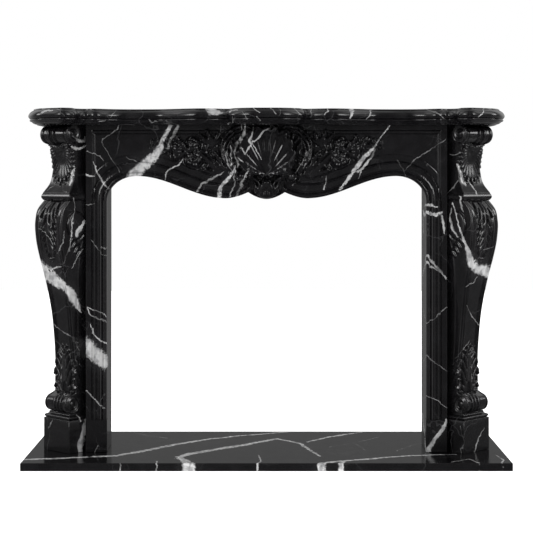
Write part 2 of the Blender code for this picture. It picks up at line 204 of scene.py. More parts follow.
def arc(start: Spot, end: Spot, bulge: float, steps: int = 8) -> list[Spot]:
    """Round stretch of a moulding's profile.

    Args:
        start: its first point.
        end: its last point.
        bulge: how far its middle stands to the left of the straight line.
        steps: how many pieces it has.

    Returns:
        Its points, the first and the last among them.
    """
    (ax, ay), (bx, by) = start, end
    parts = np.linspace(0, 1, steps + 1)
    swell = 4 * parts * (1 - parts) * bulge / math.hypot(bx - ax, by - ay)
    return [(ax + (bx - ax) * t - (by - ay) * s, ay + (by - ay) * t + (bx - ax) * s)
            for t, s in zip(parts, swell)]


def follow(path: Path, x: np.ndarray, z: np.ndarray) -> tuple[np.ndarray, np.ndarray]:
    """Nearest place on a path for each point.

    Args:
        path: points of the line.
        x: places across.
        z: places up.

    Returns:
        How far along the path each point lies, from 0 to 1, and its distance, with a sign for the side.
    """
    nearest = np.full(x.shape, np.inf)
    place = np.zeros(x.shape)
    side = np.ones(x.shape)
    for i, ((ax, az), (bx, bz)) in enumerate(zip(path, path[1:])):
        dx, dz = bx - ax, bz - az
        part = np.clip(((x - ax) * dx + (z - az) * dz) / (dx * dx + dz * dz), 0, 1)
        off_x, off_z = x - ax - part * dx, z - az - part * dz
        distance = np.hypot(off_x, off_z)
        nearer = distance < nearest
        nearest = np.where(nearer, distance, nearest)
        place = np.where(nearer, (i + part) / (len(path) - 1), place)
        side = np.where(nearer, np.sign(dx * off_z - dz * off_x), side)
    return place, nearest * side


def softened(height: np.ndarray) -> np.ndarray:
    """Draws heights a little toward their neighbours along both ways of the face.

    Args:
        height: heights by row and column.

    Returns:
        The softened heights.
    """
    wide = np.pad(height, 1, mode="edge")
    height = (wide[:-2, 1:-1] + 2 * wide[1:-1, 1:-1] + wide[2:, 1:-1]) / 4
    wide = np.pad(height, 1, mode="edge")
    return (wide[1:-1, :-2] + 2 * wide[1:-1, 1:-1] + wide[1:-1, 2:]) / 4


# A rose's rings of petals: place and size as shares of its radius, depth of a petal's middle as a
# share of its height, how many petals, and how far the ring is turned
ROSE_RINGS = ((0.60, 0.42, 0.32, 5, 0.0), (0.29, 0.29, 0.56, 3, 0.6))


@dataclass
class Relief:
    """Carving on a face: its height over the plain surface, at places across and up.

    The ornaments are the highest of all that reach a place, and the ground round each is cut a
    little deeper, as a carver's outline is.
    """

    x: np.ndarray
    z: np.ndarray
    trench: float = 1.2 * MILLIMETRE
    height: np.ndarray = field(init=False)
    ground: np.ndarray = field(init=False)

    def __post_init__(self) -> None:
        """Starts with nothing carved."""
        self.height = np.zeros(self.x.shape)
        self.ground = np.zeros(self.x.shape)

    def window(self, spots: Path, margin: float) -> np.ndarray:
        """Mask of the places within a margin of the spots' box."""
        (left, low), (right, high) = np.min(spots, axis=0) - margin, np.max(spots, axis=0) + margin
        return (self.x > left) & (self.x < right) & (self.z > low) & (self.z < high)

    def lay(self, near: np.ndarray, heights: np.ndarray, outside: np.ndarray) -> None:
        """Puts an ornament on the face.

        Args:
            near: mask of the places it may reach.
            heights: its height at those places, 0 where it doesn't reach.
            outside: how far outside its edge those places are, in widths of its outline cut.
        """
        self.height[near] = np.maximum(self.height[near], heights)
        cut = np.clip(2 - 2 * outside, 0, 1) * (outside > -0.5) * self.trench
        self.ground[near] = np.maximum(self.ground[near], cut)

    def ball(self, x: float, z: float, radius: float, rise: float) -> None:
        """Round boss.

        Args:
            x: its middle, across.
            z: its middle, up.
            radius: its radius.
            rise: its height.
        """
        near = self.window([(x, z)], radius * 1.5)
        reach = np.hypot(self.x[near] - x, self.z[near] - z) / radius
        self.lay(near, rise * half_round(reach), (reach - 1) * 2)

    def blade(self, spots: Path, width: float, rise: float, lobes: float = 0, curl: float = 0,
              root: float = 0.35, groove: float = 0.28) -> None:
        """Leaf blade along a line, with a groove down its middle and a tip that stands up.

        Args:
            spots: its spine, root first.
            width: its half width at the widest.
            rise: its height.
            lobes: how many lobes its edge has.
            curl: radius of the ball that its tip curls into.
            root: width of its root as a share of its widest.
            groove: depth of the middle groove as a share of the height.
        """
        path = curve(spots)
        near = self.window(path, width * 1.6)
        place, offset = follow(path, self.x[near], self.z[near])
        swell = root + (1 - root) * np.sin(math.pi * np.clip(place, 0, 1) ** 0.8) ** 0.7
        swell = swell * (1 - 0.22 * np.cos(2 * math.pi * lobes * place) if lobes else 1)
        reach = np.abs(offset) / (width * np.clip(swell, 0.15, 2))
        cheek = 0.45 * np.clip(5 * (1 - reach), 0, 1) + 0.55 * np.clip(1 - reach ** 2, 0, 1)
        climb = 0.60 + 0.40 * place
        furrow = 1 - groove * ridge(reach, 0.30)
        self.lay(near, rise * cheek * climb * furrow, (reach - 1) * 1.8)
        if curl:
            self.ball(*path[-1], radius=curl, rise=rise * 1.15)

    def rib(self, spots: Path, width: float, rise: float, taper: float = 0.5, steps: int = 6) -> None:
        """Rounded rib along a line.

        Args:
            spots: its line.
            width: its half width.
            rise: its height.
            taper: its width at either end as a share of the whole.
            steps: points between each two spots.
        """
        path = curve(spots, steps)
        near = self.window(path, width * 1.8)
        place, offset = follow(path, self.x[near], self.z[near])
        swell = width * (taper + (1 - taper) * np.sqrt(np.sin(math.pi * np.clip(place, 0.001, 0.999))))
        reach = np.abs(offset) / swell
        self.lay(near, rise * half_round(reach), (reach - 1) * 2)

    def volute(self, x: float, z: float, radius: float, rise: float, hand: int, turns: float) -> None:
        """Spiral scroll with a round eye.

        Args:
            x: its middle, across.
            z: its middle, up.
            radius: its outer radius.
            rise: its height.
            hand: 1 or -1, the way it turns.
            turns: how many turns it makes.
        """
        near = self.window([(x, z)], radius * 1.4)
        dx, dz = self.x[near] - x, self.z[near] - z
        reach = np.hypot(dx, dz) / radius
        phase = reach * turns - hand * np.arctan2(dz, dx) / (2 * math.pi)
        spiral = (0.5 + 0.5 * np.cos(2 * math.pi * phase)) ** 0.7
        body = np.clip(1 - reach ** 6, 0, 1) ** 0.5 * (0.5 + 0.5 * spiral)
        floor = np.where(reach < 0.44, 0.45, body)
        eye = 0.95 * smoothstep(0.46, 0.20, reach)
        self.lay(near, rise * np.maximum(floor, eye), (reach - 1) * 3)

    def button(self, x: float, z: float, radius: float, rise: float) -> None:
        """Scroll end: a domed button in a round band.

        Args:
            x: its middle, across.
            z: its middle, up.
            radius: its outer radius.
            rise: its height.
        """
        near = self.window([(x, z)], radius * 1.4)
        reach = np.hypot(self.x[near] - x, self.z[near] - z) / radius
        dome = half_round(reach / 0.70)
        band = 0.86 * half_round((reach - 0.88) / 0.13)
        floor = 0.30 * (reach < 0.9)
        self.lay(near, rise * np.maximum(np.maximum(dome, band), floor), (reach - 1) * 3)

    def rose(self, x: float, z: float, radius: float, rise: float, turn: float) -> None:
        """Open rose: two rings of cupped petals round a button.

        Args:
            x: its middle, across.
            z: its middle, up.
            radius: its outer radius.
            rise: its height.
            turn: how far its petals are turned, in radians.
        """
        near = self.window([(x, z)], radius * 1.4)
        dx, dz = self.x[near] - x, self.z[near] - z
        heights = np.zeros(dx.shape)
        for place, size, level, count, offset in ROSE_RINGS:
            for i in range(count):
                angle = turn + offset + 2 * math.pi * i / count
                px, pz = place * radius * math.cos(angle), place * radius * math.sin(angle)
                reach = np.hypot(dx - px, dz - pz) / (size * radius)
                cup = (level + 0.42 * reach ** 2) * (reach < 1)
                heights = np.maximum(heights, cup * np.clip(1 - reach ** 10, 0, 1) ** 0.5)
        reach = np.hypot(dx, dz) / radius
        heights = np.where(reach < 0.2, 0.25 * heights, heights)
        button = 0.95 * half_round(reach / 0.15)
        self.lay(near, rise * np.maximum(heights, button), (reach - 1) * 3)

    def fan(self, x: float, z: float, ridges: Sequence[float], lengths: Path, rise: float, hollow: float,
            tip: float, sharp: float, down: bool = False, fade: float = 0.0) -> None:
        """Fluted fan or shell that spreads from a hinge.

        Args:
            x: its hinge, across.
            z: its hinge, up.
            ridges: angles of its ridges from its middle line, in degrees, smallest first.
            lengths: its length at some angles from its middle line, in radians.
            rise: its height.
            hollow: depth of the flutes as a share of the height.
            tip: how far the rim bulges between two ridges, as a share of its length.
            sharp: how narrow the ridges are: 2 for round flutes, more for flat ones between thin ridges.
            down: whether it hangs from its hinge.
            fade: how much of the flutes' depth is gone at the rim.
        """
        dx, dz = self.x - x, (self.z - z) * (-1 if down else 1)
        angle = np.arctan2(dx, dz)
        lines = np.radians(ridges)
        index = np.clip(np.searchsorted(lines, angle) - 1, 0, len(lines) - 2)
        part = np.clip((angle - lines[index]) / (lines[index + 1] - lines[index]), 0, 1)
        flute = (2 * np.abs(part - 0.5)) ** sharp
        length = through(lengths, np.abs(angle)) * (1 - tip + 2 * tip * np.sin(math.pi * part) ** 0.8)
        reach = np.hypot(dx, dz) / length
        swell = np.sin(math.pi * 0.5 * np.clip(reach * 1.35, 0, 1)) * (1 - 0.25 * smoothstep(0.8, 1.0, reach))
        lip = 1 + 0.16 * ridge(reach - 0.96, 0.03)
        spread_out = (angle > lines[0]) & (angle < lines[-1])
        depth = hollow * smoothstep(0.1, 0.5, reach) * (1 - fade * smoothstep(0.60, 0.90, reach))
        heights = np.where(spread_out & (reach < 1), rise * swell * lip * (1 - depth + depth * flute), 0)
        near = reach < 1.2
        outside = np.where(spread_out, (reach - 1) * 8, 2)
        self.lay(near, heights[near], outside[near])

    def over(self, plain: np.ndarray) -> np.ndarray:
        """The face with its carving, whose edges are softened a little as a polisher leaves them.

        Args:
            plain: height of the face without it.

        Returns:
            Height of the carved face.
        """
        carved = self.height > LEAST_CARVED
        target = np.where(carved, np.maximum(self.height, plain), plain - self.ground)
        soft, near = target, (carved | (self.ground > LEAST_CARVED)).astype(float)
        for _ in range(POLISHINGS):
            soft, near = softened(soft), softened(near)
        near = smoothstep(0.0, 0.5, near)
        return target + (soft - target) * near


# Modelling

def wrapped(name: str, rings: np.ndarray, fold: bool = False) -> bpy.types.Object:
    """Closed stone from rings of points.

    A primitive grid is added with a row for each ring, wrapped round, drawn together at its two
    ends, welded and turned outward.

    Args:
        name: the piece's name.
        rings: points by ring, by place round the ring, by X, Y and Z.
        fold: whether an end closes flat from front to back, and not towards its middle.

    Returns:
        The new object.
    """
    if fold:
        ends = [(rings[i] + rings[i][::-1]) / 2 for i in (0, -1)]
    else:
        ends = [np.broadcast_to(rings[i].mean(axis=0), rings[i].shape) for i in (0, -1)]
    rings = np.concatenate((ends[:1], rings, ends[1:]))
    rings = np.concatenate((rings, rings[:, :1]), axis=1)
    rows, columns = rings.shape[0] - 1, rings.shape[1] - 1
    bpy.ops.object.select_all(action="DESELECT")
    bpy.ops.mesh.primitive_grid_add(x_subdivisions=columns, y_subdivisions=rows, size=1)
    stone = bpy.context.active_object
    stone.name = stone.data.name = name
    flat = np.empty(len(stone.data.vertices) * 3)
    stone.data.vertices.foreach_get("co", flat)
    flat = flat.reshape(-1, 3)
    column = np.rint((flat[:, 0] + 0.5) * columns).astype(int)
    row = np.rint((flat[:, 1] + 0.5) * rows).astype(int)
    stone.data.vertices.foreach_set("co", rings[row, column].ravel())
    bpy.ops.object.mode_set(mode="EDIT")
    bpy.ops.mesh.select_all(action="SELECT")
    bpy.ops.mesh.remove_doubles(threshold=WELD)
    bpy.ops.mesh.normals_make_consistent(inside=False)
    bpy.ops.object.mode_set(mode="OBJECT")
    bpy.ops.object.shade_smooth_by_angle(angle=SMOOTH_ANGLE)
    return stone


def mirrored(stone: bpy.types.Object, name: str) -> bpy.types.Object:
    """Copy of a left stone for the right side, with its own mesh.

    Args:
        stone: the left piece.
        name: the copy's name.

    Returns:
        The copy.
    """
    bpy.ops.object.select_all(action="DESELECT")
    stone.select_set(True)
    bpy.context.view_layer.objects.active = stone
    bpy.ops.object.duplicate(linked=False)
    copy = bpy.context.active_object
    copy.name = copy.data.name = name
    bpy.ops.object.mode_set(mode="EDIT")
    bpy.ops.mesh.select_all(action="SELECT")
    bpy.ops.transform.resize(value=(-1, 1, 1), center_override=(0, 0, 0))
    bpy.ops.mesh.normals_make_consistent(inside=False)
    bpy.ops.object.mode_set(mode="OBJECT")
    return copy


def stands_for(piece: bpy.types.Object, node: str) -> None:
    """Puts a modelled stone in the place of its node.

    Args:
        piece: the stone.
        node: the node's name.
    """
    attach(piece, "root")
    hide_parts(node)
    log.info("%s stands for %s, %d faces", piece.name, node, len(piece.data.polygons))


# Shader expressions

class Signal:
    """Socket of a node tree that takes part in Python expressions on numbers."""

    def __init__(self, graph: "Graph", socket: bpy.types.NodeSocket) -> None:
        """Keeps the socket and the graph it belongs to."""
        self.graph = graph
        self.socket = socket

    def _math(self, operation: str, first: "Signal | float", second: "Signal | float") -> "Signal":
        """Math node on two values."""
        return self.graph.node("ShaderNodeMath", {"operation": operation}, {0: first, 1: second}).out(0)

    def __add__(self, other: "Signal | float") -> "Signal":
        """Sum."""
        return self._math("ADD", self, other)

    __radd__ = __add__

    def __sub__(self, other: "Signal | float") -> "Signal":
        """Difference."""
        return self._math("SUBTRACT", self, other)

    def __rsub__(self, other: "Signal | float") -> "Signal":
        """Difference from a number."""
        return self._math("SUBTRACT", other, self)

    def __mul__(self, other: "Signal | float") -> "Signal":
        """Product."""
        return self._math("MULTIPLY", self, other)

    __rmul__ = __mul__

    def __truediv__(self, other: "Signal | float") -> "Signal":
        """Quotient."""
        return self._math("DIVIDE", self, other)

    def __pow__(self, other: float) -> "Signal":
        """Power of the value where it is above zero, and zero elsewhere."""
        return self._math("POWER", self.greater(0.0), other)

    def bearing(self, other: "Signal | float") -> "Signal":
        """Angle whose tangent is this value over another."""
        return self._math("ARCTAN2", self, other)

    def lesser(self, other: "Signal | float") -> "Signal":
        """The lesser of two values."""
        return self._math("MINIMUM", self, other)

    def greater(self, other: "Signal | float") -> "Signal":
        """The greater of two values."""
        return self._math("MAXIMUM", self, other)

    def step(self, low: float, high: float) -> "Signal":
        """Smooth step of the value.

        Args:
            low: where it is 0.
            high: where it is 1, which may lie below low.

        Returns:
            The step, from 0 to 1.
        """
        ends = (low, high, 0.0, 1.0) if low < high else (high, low, 1.0, 0.0)
        return self.graph.node("ShaderNodeMapRange", {"interpolation_type": "SMOOTHSTEP"},
                               {0: self, **dict(zip((1, 2, 3, 4), ends))}).out(0)


@dataclass
class Placed:
    """A node in its graph."""

    graph: "Graph"
    node: bpy.types.Node

    def out(self, key: int | str) -> Signal:
        """One of the node's outputs."""
        return Signal(self.graph, self.node.outputs[key])


class Graph:
    """Node tree of a material or of the surroundings, built by expressions."""

    def __init__(self, owner: bpy.types.ID, shader: str = "Principled BSDF") -> None:
        """Turns on the owner's nodes and finds its shader.

        Args:
            owner: the material or world.
            shader: name of its shader node.
        """
        owner.use_nodes = True
        self.owner = owner
        self.tree = owner.node_tree
        self.shader = self.tree.nodes[shader]

    def feed(self, socket: bpy.types.NodeSocket, value: "Signal | float | Sequence[float]") -> None:
        """Links a signal to a socket, or sets the socket's own value.

        Args:
            socket: an input of a node.
            value: the signal or the value.
        """
        if isinstance(value, Signal):
            self.tree.links.new(value.socket, socket)
        else:
            socket.default_value = value

    def node(self, kind: str, settings: dict | None = None, inputs: dict | None = None) -> Placed:
        """Adds a node.

        Args:
            kind: the node's type.
            settings: its own settings, set first.
            inputs: values or signals of its sockets, by name or number.

        Returns:
            The node in its graph.
        """
        node = self.tree.nodes.new(kind)
        for key, value in (settings or {}).items():
            setattr(node, key, value)
        for key, value in (inputs or {}).items():
            self.feed(node.inputs[key], value)
        return Placed(self, node)

    def vector(self, operation: str, *values: "Signal | Sequence[float]",
               scale: "Signal | float | None" = None, out: str = "Vector") -> Signal:
        """Vector Math node.

        Args:
            operation: what it does.
            values: its vectors.
            scale: the factor of a scaling.
            out: which of its outputs is read.

        Returns:
            That output.
        """
        inputs = dict(enumerate(values))
        if scale is not None:
            inputs["Scale"] = scale
        return self.node("ShaderNodeVectorMath", {"operation": operation}, inputs).out(out)

    def noise(self, place: Signal, scale: float, detail: float = 3.0, rough: float = 0.5,
              out: str = "Fac") -> Signal:
        """Noise at a place."""
        inputs = {"Vector": place, "Scale": scale, "Detail": detail, "Roughness": rough}
        return self.node("ShaderNodeTexNoise", None, inputs).out(out)

    def ripple(self, place: Signal, scale: float) -> Signal:
        """Vector that wanders evenly round zero over the stone."""
        return self.vector("SUBTRACT", self.noise(place, scale, out="Color"), (0.5, 0.5, 0.5))

    def cracks(self, place: Signal, scale: float) -> Signal:
        """Distance from the edges of irregular cells."""
        return self.node("ShaderNodeTexVoronoi", {"feature": "DISTANCE_TO_EDGE"},
                         {"Vector": place, "Scale": scale, "Randomness": 1.0}).out("Distance")

    def blend(self, factor: "Signal | float", first: "Signal | Sequence[float]",
              second: "Signal | Sequence[float]") -> Signal:
        """Colour between two colours."""
        inputs = {0: factor, 6: first, 7: second}
        return self.node("ShaderNodeMix", {"data_type": "RGBA"}, inputs).out(2)


@dataclass(frozen=True)
class Patches:
    """Cloudy patches in the stone: noise of a scale, drawn out between two of its levels."""

    scale: float
    low: float
    high: float
    detail: float = 2.0
    rough: float = 0.5

    def at(self, graph: Graph, place: Signal) -> Signal:
        """How far a place lies in a patch, from 0 to 1."""
        return graph.noise(place, self.scale, self.detail, self.rough).step(self.low, self.high)


@dataclass(frozen=True)
class Edge:
    """Frayed edge of a vein: how much it frays, and the distances where it begins and is full."""

    fray: float
    begins: float
    full: float

    def mask(self, distance: Signal, fray: Signal) -> Signal:
        """How far a place at a distance lies in the vein, from 0 to 1."""
        return (distance + fray * self.fray).step(self.begins, self.full)


@dataclass(frozen=True)
class Vein:
    """White vein, or a painted highlight drawn as one: picture places along its line, each with its half
    width there in millimetres.
    """

    places: tuple[Place, ...]

    def widest(self) -> float:
        """Greatest half width."""
        return max(place[2] for place in self.places)


@dataclass(frozen=True)
class Marble:
    """Polished black marble with the white veins that cross one group of stones.

    A vein is a sheet through the stone. Its line is held where the picture shows it, on an upright
    plane or on the hearth's top, and a slow wobble and frayed edges are put on it. With a lean the
    sheets run sideways as they go deeper, and where they are shallow the narrow ones end at that
    depth. The veins are drawn in three sorts by their width: thin threads, wider strands, and broad
    ones of milky white.
    """

    name: str
    veins: tuple[Vein, ...]
    sheet: Sheet = Sheet.FRONT
    plane_y: float = -0.109
    lean: float = 0.0
    shallow: float = 0.0
    white: Colour = (0.46, 0.46, 0.46, 1)
    black: Colour = (0.0035, 0.0033, 0.0038, 1)
    cloud: Colour = (0.0065, 0.0062, 0.0070, 1)
    grey: Colour = (0.16, 0.16, 0.165, 1)
    grain: Place = (1.0, 0.6, 0.7)
    polish: float = 0.13
    thin: float = 1.6
    broad: float = 5.0
    far: float = 9.0
    slow_scale: float = 14.0
    slow_reach: float = 20 * MILLIMETRE
    quick_scale: float = 75.0
    quick_reach: float = 11 * MILLIMETRE
    fray_scale: float = 150.0
    core_edge: Edge = Edge(1.2, 1.20, 0.65)
    halo_edge: Edge = Edge(2.5, 3.0, 1.0)
    strand_edge: Edge = Edge(1.9, 1.35, 0.45)
    thread_edge: Edge = Edge(1.8, 1.5, 0.4)
    strand_shows: Spot = (0.16, 0.78)
    thread_shows: Spot = (0.04, 0.38)
    halo_shows: float = 0.03
    hairs_show: float = 0.13
    clouds: Patches = Patches(22.0, 0.35, 0.75, 5.0, 0.6)
    fading: Patches = Patches(17.0, 0.32, 0.60)
    islands: Patches = Patches(30.0, 0.62, 0.70, 3.0, 0.55)
    milk: Patches = Patches(60.0, 0.32, 0.60, 3.0)
    wear: Patches = Patches(30.0, 0.3, 0.8, 4.0)

    def spot(self, column: float, row: float) -> Place:
        """Place of a picture point on the plane that holds the veins.

        Args:
            column: pixels from the picture's left.
            row: pixels from the picture's top.

        Returns:
            The place, with 0 for the axis that the sheets run along.
        """
        if self.sheet is Sheet.TOP:
            return (*CAMERA.on_hearth(column, row), 0.0)
        x, z = CAMERA.on_upright(column, row, self.plane_y)
        return x, 0.0, z

    def nearness(self, graph: Graph, veins: Sequence[Vein], place: Signal) -> Signal:
        """Distance from the nearest of some veins, in half widths.

        Args:
            graph: the material's graph.
            veins: the veins.
            place: wobbled place on the veins' plane.

        Returns:
            The distance, below 1 inside a vein.
        """
        nearest = graph.node("ShaderNodeMath", {"operation": "ADD"}, {0: self.far, 1: 0.0}).out(0)
        for vein in veins:
            for first, second in zip(vein.places, vein.places[1:]):
                start, end = (Vector(self.spot(*knot[:2])) for knot in (first, second))
                run = end - start
                off = graph.vector("SUBTRACT", place, start[:])
                along = graph.vector("DOT_PRODUCT", off, (run / run.length_squared)[:], out="Value")
                part = graph.node("ShaderNodeClamp", None, {"Value": along}).out(0)
                foot = graph.vector("SCALE", run[:], scale=part)
                distance = graph.vector("DISTANCE", off, foot, out="Value")
                slim, grown = first[2] * MILLIMETRE, second[2] * MILLIMETRE
                width = graph.node("ShaderNodeMath", {"operation": "MULTIPLY_ADD"},
                                   {0: part, 1: grown - slim, 2: slim}).out(0)
                nearest = nearest.lesser(distance / width)
        return nearest

    def shown(self, share: Signal, between: Spot) -> Signal:
        """Strength between two values, by a share."""
        return share * (between[1] - between[0]) + between[0]

    def hairlines(self, graph: Graph, place: Signal, slow: Signal, fray: Signal) -> Signal:
        """Net of grey hairlines and short specks in some parts of the stone.

        Args:
            graph: the material's graph.
            place: place in the stone.
            slow: its slow wobble.
            fray: fine unevenness.

        Returns:
            How strongly they show.
        """
        net = graph.vector("ADD", place, graph.vector("SCALE", slow, scale=60 * MILLIMETRE))
        lines = Edge(0.02, 0.016, 0.003).mask(graph.cracks(net, 8.0), fray)
        specks = Edge(0.05, 0.030, 0.004).mask(graph.cracks(net, 21.0), fray)
        lines = lines * Patches(5.0, 0.46, 0.62).at(graph, place)
        specks = specks * Patches(11.0, 0.56, 0.68).at(graph, place)
        return (lines + specks * 0.6).lesser(1.0) * self.hairs_show

    def material(self) -> bpy.types.Material:
        """Builds the material.

        Returns:
            The marble with its veins.
        """
        graph = Graph(bpy.data.materials.new(self.name))
        place = graph.node("ShaderNodeTexCoord").out("Object")
        slow, quick = graph.ripple(place, self.slow_scale), graph.ripple(place, self.quick_scale)
        wobble = graph.vector("ADD", graph.vector("SCALE", slow, scale=self.slow_reach),
                              graph.vector("SCALE", quick, scale=self.quick_reach))
        moved = wobbled = graph.vector("ADD", place, wobble)
        inward = graph.node("ShaderNodeSeparateXYZ", None, {0: place}).out(1) - self.plane_y
        if self.lean:
            sideways = graph.node("ShaderNodeCombineXYZ", None, {0: inward * self.lean}).out(0)
            moved = graph.vector("ADD", moved, sideways)
        flat = graph.vector("MULTIPLY", moved, self.sheet.value)
        bounds = (0.0, self.thin, self.broad, math.inf)
        groups = [[vein for vein in self.veins if low < vein.widest() <= high]
                  for low, high in zip(bounds, bounds[1:])]
        thread, strand, reach = (self.nearness(graph, group, flat) for group in groups)

        fray = graph.noise(place, self.fray_scale, 3.0, 0.65) - 0.5
        fade = self.fading.at(graph, place)
        if self.shallow:
            deeper = inward.step(0.0, self.shallow)
            fade = fade * inward.step(1.5 * self.shallow, 0.5 * self.shallow) - deeper * 0.2
        island = self.islands.at(graph, wobbled) * reach.step(0.15, 0.35)
        core = self.core_edge.mask(reach, fray) * (1.0 - island)
        strands = self.strand_edge.mask(strand, fray) * self.shown(fade, self.strand_shows)
        threads = self.thread_edge.mask(thread, fray) * self.shown(fade, self.thread_shows)
        halo = self.halo_edge.mask(reach, fray) * self.halo_shows
        milk = self.shown(self.milk.at(graph, graph.vector("MULTIPLY", moved, self.grain)), (0.20, 1.0))

        colour = graph.blend(self.clouds.at(graph, place), self.black, self.cloud)
        colour = graph.blend(halo, colour, self.grey)
        colour = graph.blend(self.hairlines(graph, place, slow, fray), colour, self.grey)
        colour = graph.blend(threads, colour, self.white)
        colour = graph.blend(strands, colour, self.white)
        colour = graph.blend(core * 0.96, colour, graph.blend(milk, self.grey, self.white))
        rough = self.wear.at(graph, place) * 0.06 + core * 0.10 + self.polish
        bump = {"Strength": 0.03, "Distance": 0.8 * MILLIMETRE, "Height": graph.noise(place, 130.0, 2.0)}
        graph.feed(graph.shader.inputs["Base Color"], colour)
        graph.feed(graph.shader.inputs["Roughness"], rough)
        graph.feed(graph.shader.inputs["Normal"], graph.node("ShaderNodeBump", None, bump).out(0))
        return graph.owner


# The veins as the photograph shows them, with a few painted highlights drawn like veins: column and row in
# the picture, and half width in millimetres

FRIEZE_VEINS = (
    Vein(((172, 124, 4.5), (166.5, 132, 6.5), (162, 140, 7), (161, 147, 11), (154, 156, 16), (147, 163, 17),
          (140, 169, 18), (134, 177, 18))),
    Vein(((179, 124, 3.2), (174.5, 132, 4.4), (171, 140, 3.6), (168, 148, 3.2))),
    Vein(((119.5, 125, 0.8), (116.6, 130, 1.2), (107, 137.5, 1.4), (102.6, 139.7, 1.4), (103.4, 145.6, 1.2),
          (108.5, 154.4, 1.4), (113, 161.8, 1.4), (120, 172, 1))),
    Vein(((127, 156, 0.8), (131, 159, 1.2), (136.5, 161, 0.8))),
    Vein(((86.5, 151.5, 0.8), (101, 156.6, 1), (104, 160, 0.8))),
    Vein(((85, 174, 2.4), (90, 176, 3.2), (95, 176, 1.2))),
    Vein(((94, 162, 0.8), (97, 170, 1.6), (101, 178, 2.4), (104, 184, 4), (109, 189, 3.2))),
    Vein(((184, 159, 1), (179, 165, 2.1), (170, 169, 1.9), (166, 173.5, 1.8), (164.4, 181, 1.2))),
    Vein(((223, 172, 1.2), (216, 176.5, 2.4), (210, 180, 4.4), (202.6, 185, 3.2), (197.5, 192, 3.2))),
    Vein(((234.8, 167, 2.4), (231.8, 172.7, 4.8), (228, 178.9, 4.8), (222.6, 185, 5.6), (219.9, 191, 6.4),
          (219.5, 199, 6.4))),
    Vein(((238.7, 118, 1.6), (241, 125, 2), (240, 131, 1.2))),
    Vein(((244.8, 124, 3.2), (244, 131, 4), (241.7, 136, 4.8), (237.9, 141.4, 4.8), (236.4, 147, 3.6),
          (235.6, 153, 2.4), (237, 158, 2), (238.5, 163, 2), (237.5, 168, 1.6))),
    Vein(((253, 128, 1.6), (251, 135, 2.4), (247.8, 140.6, 3.2), (250, 144.4, 3.2), (245.5, 152.8, 2))),
    Vein(((271.6, 126.4, 3.6), (268.5, 129, 2.8), (263, 132, 2.4), (258.6, 137.5, 2.4), (254, 141.4, 2.8),
          (250.9, 141.4, 2.4))),
    Vein(((251, 142, 1.8), (254.7, 148, 1.4), (258.6, 155, 1.4), (260, 159, 0.8))),
    Vein(((231, 144.4, 1.2), (231.8, 149.8, 2.4), (231, 156, 2), (232.5, 162, 2.4), (229.5, 166, 1.6))),
    Vein(((240.5, 147.5, 1.6), (243, 150.5, 2.8), (245, 152.5, 1.6))),
    Vein(((238.7, 157, 1.6), (240.5, 160, 2.8), (242.8, 162.3, 1.6))),
    Vein(((247.5, 170.4, 1.2), (244.8, 174.3, 1.9), (243.3, 178.9, 1.9), (240, 182, 3.2), (240.5, 186, 4),
          (238.7, 191, 3.6), (237.5, 199, 4))),
    Vein(((234.8, 171, 1.2), (233.3, 177, 1.6), (234.8, 182, 1.6), (233.3, 188, 1.9), (231, 196, 2.1))),
    Vein(((225.7, 154.4, 1), (226.4, 159, 1.5), (228, 166.6, 1.5), (230, 171, 1.2))),
    Vein(((220.7, 123.8, 0.9), (219.5, 133, 1.2), (217, 139, 0.9))),
    Vein(((392, 122, 1.4), (386, 130, 1.6), (381, 138, 1.4), (376, 145, 2.4), (372.8, 149, 4.8),
          (368, 153.6, 6), (362, 159.7, 5.2), (357.5, 165, 6), (353.7, 171, 6.4), (349.9, 177, 5.2),
          (346.8, 182, 4), (340.5, 190, 3.2))),
    Vein(((375.5, 150, 2.4), (372, 157, 3.2), (367.5, 162.5, 3.2), (362, 168, 3.6), (357.5, 171.5, 3.2))),
    Vein(((362, 168, 2), (360.6, 172.7, 1.9), (359.6, 179, 1.4))),
    Vein(((447, 138, 0.8), (436, 147, 1.2), (428, 152, 1.4), (416, 160, 1.2), (405, 171, 0.8))),
    Vein(((326, 176, 0.8), (327, 182, 1.9), (325, 189, 1.6))),
    Vein(((398, 160, 0.8), (404, 171, 1.2), (409, 183, 0.9))),
)
